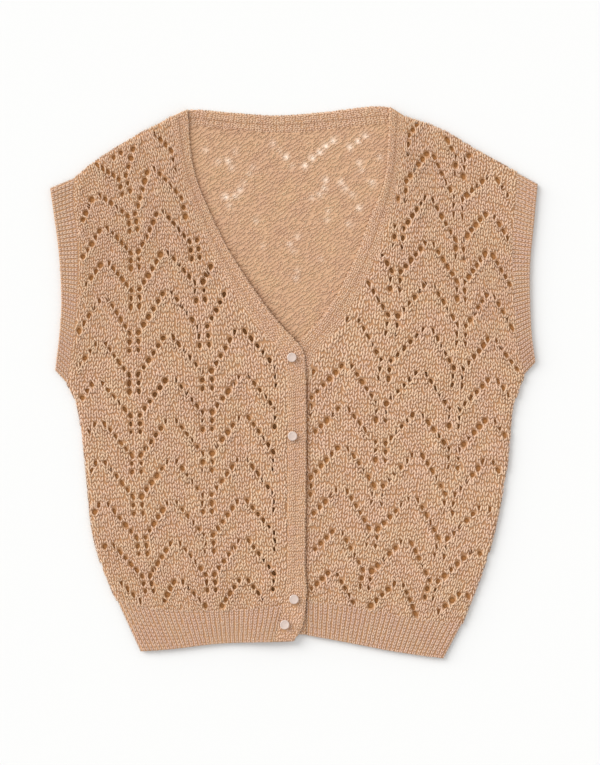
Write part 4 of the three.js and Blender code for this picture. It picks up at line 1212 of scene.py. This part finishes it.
def rib_knitting(name, strip, seed, segments):
    """The knit columns of a rib, one on each rib, from the free edge to the seam."""
    pitch_rows = RIB_GAUGE["height"]
    width = strip.width(np.linspace(0, 1, 40)).mean()
    rows = int((width - 1.0) / pitch_rows)
    cell = strip.length / strip.ribs
    i, j = np.meshgrid(np.arange(strip.ribs + 1), np.arange(rows + 1), indexing="ij")
    cells = np.column_stack([i.ravel() * cell, j.ravel() * pitch_rows])
    gauge = dict(RIB_GAUGE, width=cell * RIB_COLUMN["width"])

    def lay(flat, _):
        share = flat[:, 0] / strip.length
        here = strip.width(share)
        across = here + RIB_COLUMN["past_edge"] - (flat[:, 1] + pitch_rows * 0.5) * (here / width)
        return strip.place(share, across, flat[:, 2] + RIB_COLUMN["yarn"])

    return knit(name, cells, gauge, KNIT, lay, RIB_YARN, segments=segments, seed=seed,
                unevenness=RIB_COLUMN["unevenness"], jitter=RIB_COLUMN["jitter"])


def rib_piece(name, node, seam, edge, low, pitch, seed, side=1, fold_ends=(False, False), replaced=True):
    """A ribbed hem or armhole: ground and knit columns."""
    ribs = round((length_of(seam) + length_of(edge)) / 2 / pitch)
    strip = Strip(seam, edge, low, ribs=ribs, side=side, fold_ends=fold_ends)
    ground = strip.ground(name + "_ground", RIB_GROUND)
    knitting = rib_knitting(name + "_knitting", strip, seed, segments=3 if side > 0 else 2)
    face_outwards(knitting)
    finish_piece(ground)
    finish_piece(knitting)
    if replaced:
        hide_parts(node)
    cut_strip(strip)


# A band's dense knitting: how many columns run along it, how far it reaches round the edge, how far
# its first row lies from the end, how high its yarns lie and how much its stitches vary.
DENSE = {"columns": 5, "past_edge": 1.4, "first_row": 0.7, "yarn": 0.1, "jitter": 0.1}


def dense_knitting(name, strip, seed, keep=None):
    """Fine knitting whose columns run along a band."""
    columns = DENSE["columns"]
    rows = int(strip.length / BAND_GAUGE["height"])
    width = strip.width(np.linspace(0, 1, 60)).mean() + DENSE["past_edge"]
    cell = width / columns
    i, j = np.meshgrid(np.arange(columns), np.arange(rows), indexing="ij")
    cells = np.column_stack([(i.ravel() + 0.5) * cell, (j.ravel() + DENSE["first_row"]) * BAND_GAUGE["height"]])
    gauge = dict(BAND_GAUGE, width=cell)

    def lay(flat, _=None):
        share = flat[:, 1] / strip.length
        here = strip.width(share) + DENSE["past_edge"]
        return strip.place(share, flat[:, 0] * here / width, flat[:, 2] + DENSE["yarn"])

    if keep is not None:
        at = lay(np.column_stack([cells, np.zeros(len(cells))]))[:, :2]
        cells = cells[keep(at)]
    return knit(name, cells, gauge, KNIT, lay, BAND_YARN, segments=3, seed=seed, jitter=DENSE["jitter"])


def along_band(seam, edge, across, above=-999):
    """A line along a band at a share of its width, where it lies above a height."""
    share = np.linspace(0, 1, 160)
    line = along(seam, share) * (1 - across) + along(edge, share) * across
    return line[line[:, 1] > above]


def band_piece(name, node, seam, edge, low, seed, line, dip=0.1, keep=None, shade_paint_lines=()):
    """A dense band: ground and knitting, with shallow grooves along its lines that painted shade darkens."""
    strip = Strip(seam, edge, low, line=line, dip=dip)
    ground = strip.ground(name + "_ground", BAND_GROUND)
    knitting = dense_knitting(name + "_knitting", strip, seed, keep)
    face_outwards(knitting)
    finish_piece(ground)
    finish_piece(knitting)
    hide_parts(node)
    cut_strip(strip)
    mark(knitting, "painted_shade", paint_shade_beside(*shade_paint_lines))


def button(place, low):
    """A round pearly button with a raised rim round a shallow dish, on a shank that stands in the
    band's cloth."""
    r, t = BUTTON["radius"], BUTTON["thickness"]
    base, foot = low, low - BUTTON["shank_length"]
    profile = [
        (0.0, foot), (BUTTON["shank"], foot), (BUTTON["shank"], base), (r * 0.86, base),
        (r * 0.97, base + t * 0.22), (r, base + t * 0.5), (r * 0.97, base + t * 0.82),
        (r * 0.88, base + t), (r * 0.78, base + t * 0.98),
        (BUTTON["dish"], base + t * 0.86), (BUTTON["dish"] * 0.6, base + t * 0.83), (0.0, base + t * 0.82),
    ]
    count = 40
    turn = np.linspace(0, 2 * math.pi, count, endpoint=False)
    rings = [
        np.column_stack([place["x"] + radius * np.cos(turn), place["y"] + radius * np.sin(turn),
                         np.full(count, z)])
        for radius, z in profile[1:-1]
    ]
    points = np.vstack([[(place["x"], place["y"], profile[0][1])], *rings,
                        [(place["x"], place["y"], profile[-1][1])]])
    faces = [(0, 1 + (k + 1) % count, 1 + k) for k in range(count)]
    for ring in range(len(rings) - 1):
        first = 1 + ring * count
        faces += [
            (first + k, first + (k + 1) % count, first + count + (k + 1) % count, first + count + k)
            for k in range(count)
        ]
    last = len(points) - 1
    first = 1 + (len(rings) - 1) * count
    faces += [(last, first + k, first + (k + 1) % count) for k in range(count)]
    piece = make_mesh(place["node"] + "_pearl", points, faces, PEARL)
    face_outwards(piece)
    finish_piece(piece)
    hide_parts(place["node"])


def soft_box(name, place, width, energy):
    """A far light of a width in degrees, turned to the vest."""
    lamp = bpy.data.lights.new(name, "SUN")
    lamp.angle = math.radians(width)
    lamp.energy = energy
    box = bpy.data.objects.new(name, lamp)
    box.location = place
    box.rotation_euler = (-Vector(place)).to_track_quat("-Z", "Y").to_euler()
    bpy.context.collection.objects.link(box)


def studio():
    """White paper floor, two soft lights from the upper left and an even sky."""
    half, low = 4.0, -0.0004
    mesh = bpy.data.meshes.new("floor")
    corners = [(-half, -half, low), (half, -half, low), (half, half, low), (-half, half, low)]
    mesh.from_pydata(corners, [], [(0, 1, 2, 3)])
    mesh.materials.append(paper_white())
    floor = bpy.data.objects.new("floor", mesh)
    bpy.context.collection.objects.link(floor)

    world = bpy.data.worlds.new("even studio light")
    world.use_nodes = True
    world.node_tree.nodes["Background"].inputs["Color"].default_value = linear("#FFFFFF")
    world.node_tree.nodes["Background"].inputs["Strength"].default_value = 0.82
    bpy.context.scene.world = world

    soft_box("high soft box", (-1.3, 1.1, 1.1), 34, 1.95)
    soft_box("low soft box", (-1.5, 0.55, 0.4), 24, 0.85)
    bpy.context.scene.view_settings.view_transform = "Standard"


def camera():
    """Straight above, framed as in the photo: 600 by 765 mm of the surface."""
    framed_height, middle, height = 0.765, (0.006, -0.0001), 2.2
    data = bpy.data.cameras.new("camera")
    data.sensor_fit = "AUTO"
    data.sensor_width = 36.0
    data.lens = data.sensor_width * (height - 0.003) / framed_height
    viewer = bpy.data.objects.new("camera", data)
    viewer.location = (*middle, height)
    bpy.context.collection.objects.link(viewer)
    bpy.context.scene.camera = viewer


def clear_of_buttonholes(xy):
    kept = np.ones(len(xy), bool)
    for place in BUTTONS:
        x = xy[:, 0] - place["x"]
        y = xy[:, 1] - place["y"] + BUTTONHOLE["below"]
        kept &= ~((np.abs(x) < BUTTONHOLE["half_width"]) & (np.abs(y) < BUTTONHOLE["half_length"]))
    return kept


camera()
studio()
right_front()
left_front()
back()
rib_piece("right_hem", "hem_rib_front_right", RIGHT["hem_seam"], RIGHT["hem_edge"], right_low, HEM_RIB_PITCH,
          31, fold_ends=(True, False))
rib_piece("left_hem", "hem_rib_front_left", LEFT["hem_seam"], LEFT["hem_edge"], left_low, HEM_RIB_PITCH, 32,
          fold_ends=(False, True))
rib_piece("back_hem", "hem_rib_back", BACK_HEM_SEAM, BACK_HEM_EDGE, back_low, HEM_RIB_PITCH, 33, side=-1,
          fold_ends=(True, True))
for side_name, node, lines, seed in (
    ("right_armhole", "armhole_rib_right", RIGHT, 34),
    ("left_armhole", "armhole_rib_left", LEFT, 36),
):
    rib_piece(side_name + "_front", node, lines["armhole_seam"], lines["armhole_edge"],
              lambda xy: np.full(len(xy), FRONT_LOW), ARMHOLE_RIB_PITCH, seed, fold_ends=(True, True))
    rib_piece(side_name + "_back", node, lines["armhole_seam"], lines["armhole_edge"], back_low,
              ARMHOLE_RIB_PITCH, seed + 1, side=-1, fold_ends=(True, True), replaced=False)
# The bands get painted shade along their middle lines, and the neckband also along its seam.
band_piece("back_neckband", "neckband_back", NECKBAND_SEAM, NECKBAND_EDGE, back_low, 41, line=0.4,
           dip=0.35, shade_paint_lines=[(along_band(NECKBAND_SEAM, NECKBAND_EDGE, 0.0), 0.4, 1.3),
                              (along_band(NECKBAND_SEAM, NECKBAND_EDGE, 0.46), 0.28, 1.0)])
band_piece("left_band", "front_band_left", LEFT_BAND_SEAM, LEFT_BAND_EDGE, left_low, 42, line=0.4,
           shade_paint_lines=[(along_band(LEFT_BAND_SEAM, LEFT_BAND_EDGE, 0.46), 0.3, 0.9)])
band_piece("right_band", "front_band_right", RIGHT_BAND_SEAM, RIGHT_BAND_EDGE, right_low, 43, line=0.4,
           keep=clear_of_buttonholes,
           shade_paint_lines=[(along_band(RIGHT_BAND_SEAM, RIGHT_BAND_EDGE, 0.46, above=60), 0.3, 0.9)])
for place in BUTTONS:
    button(place, FRONT_LOW + OVERLAP["rise"] + WALL + 0.65)
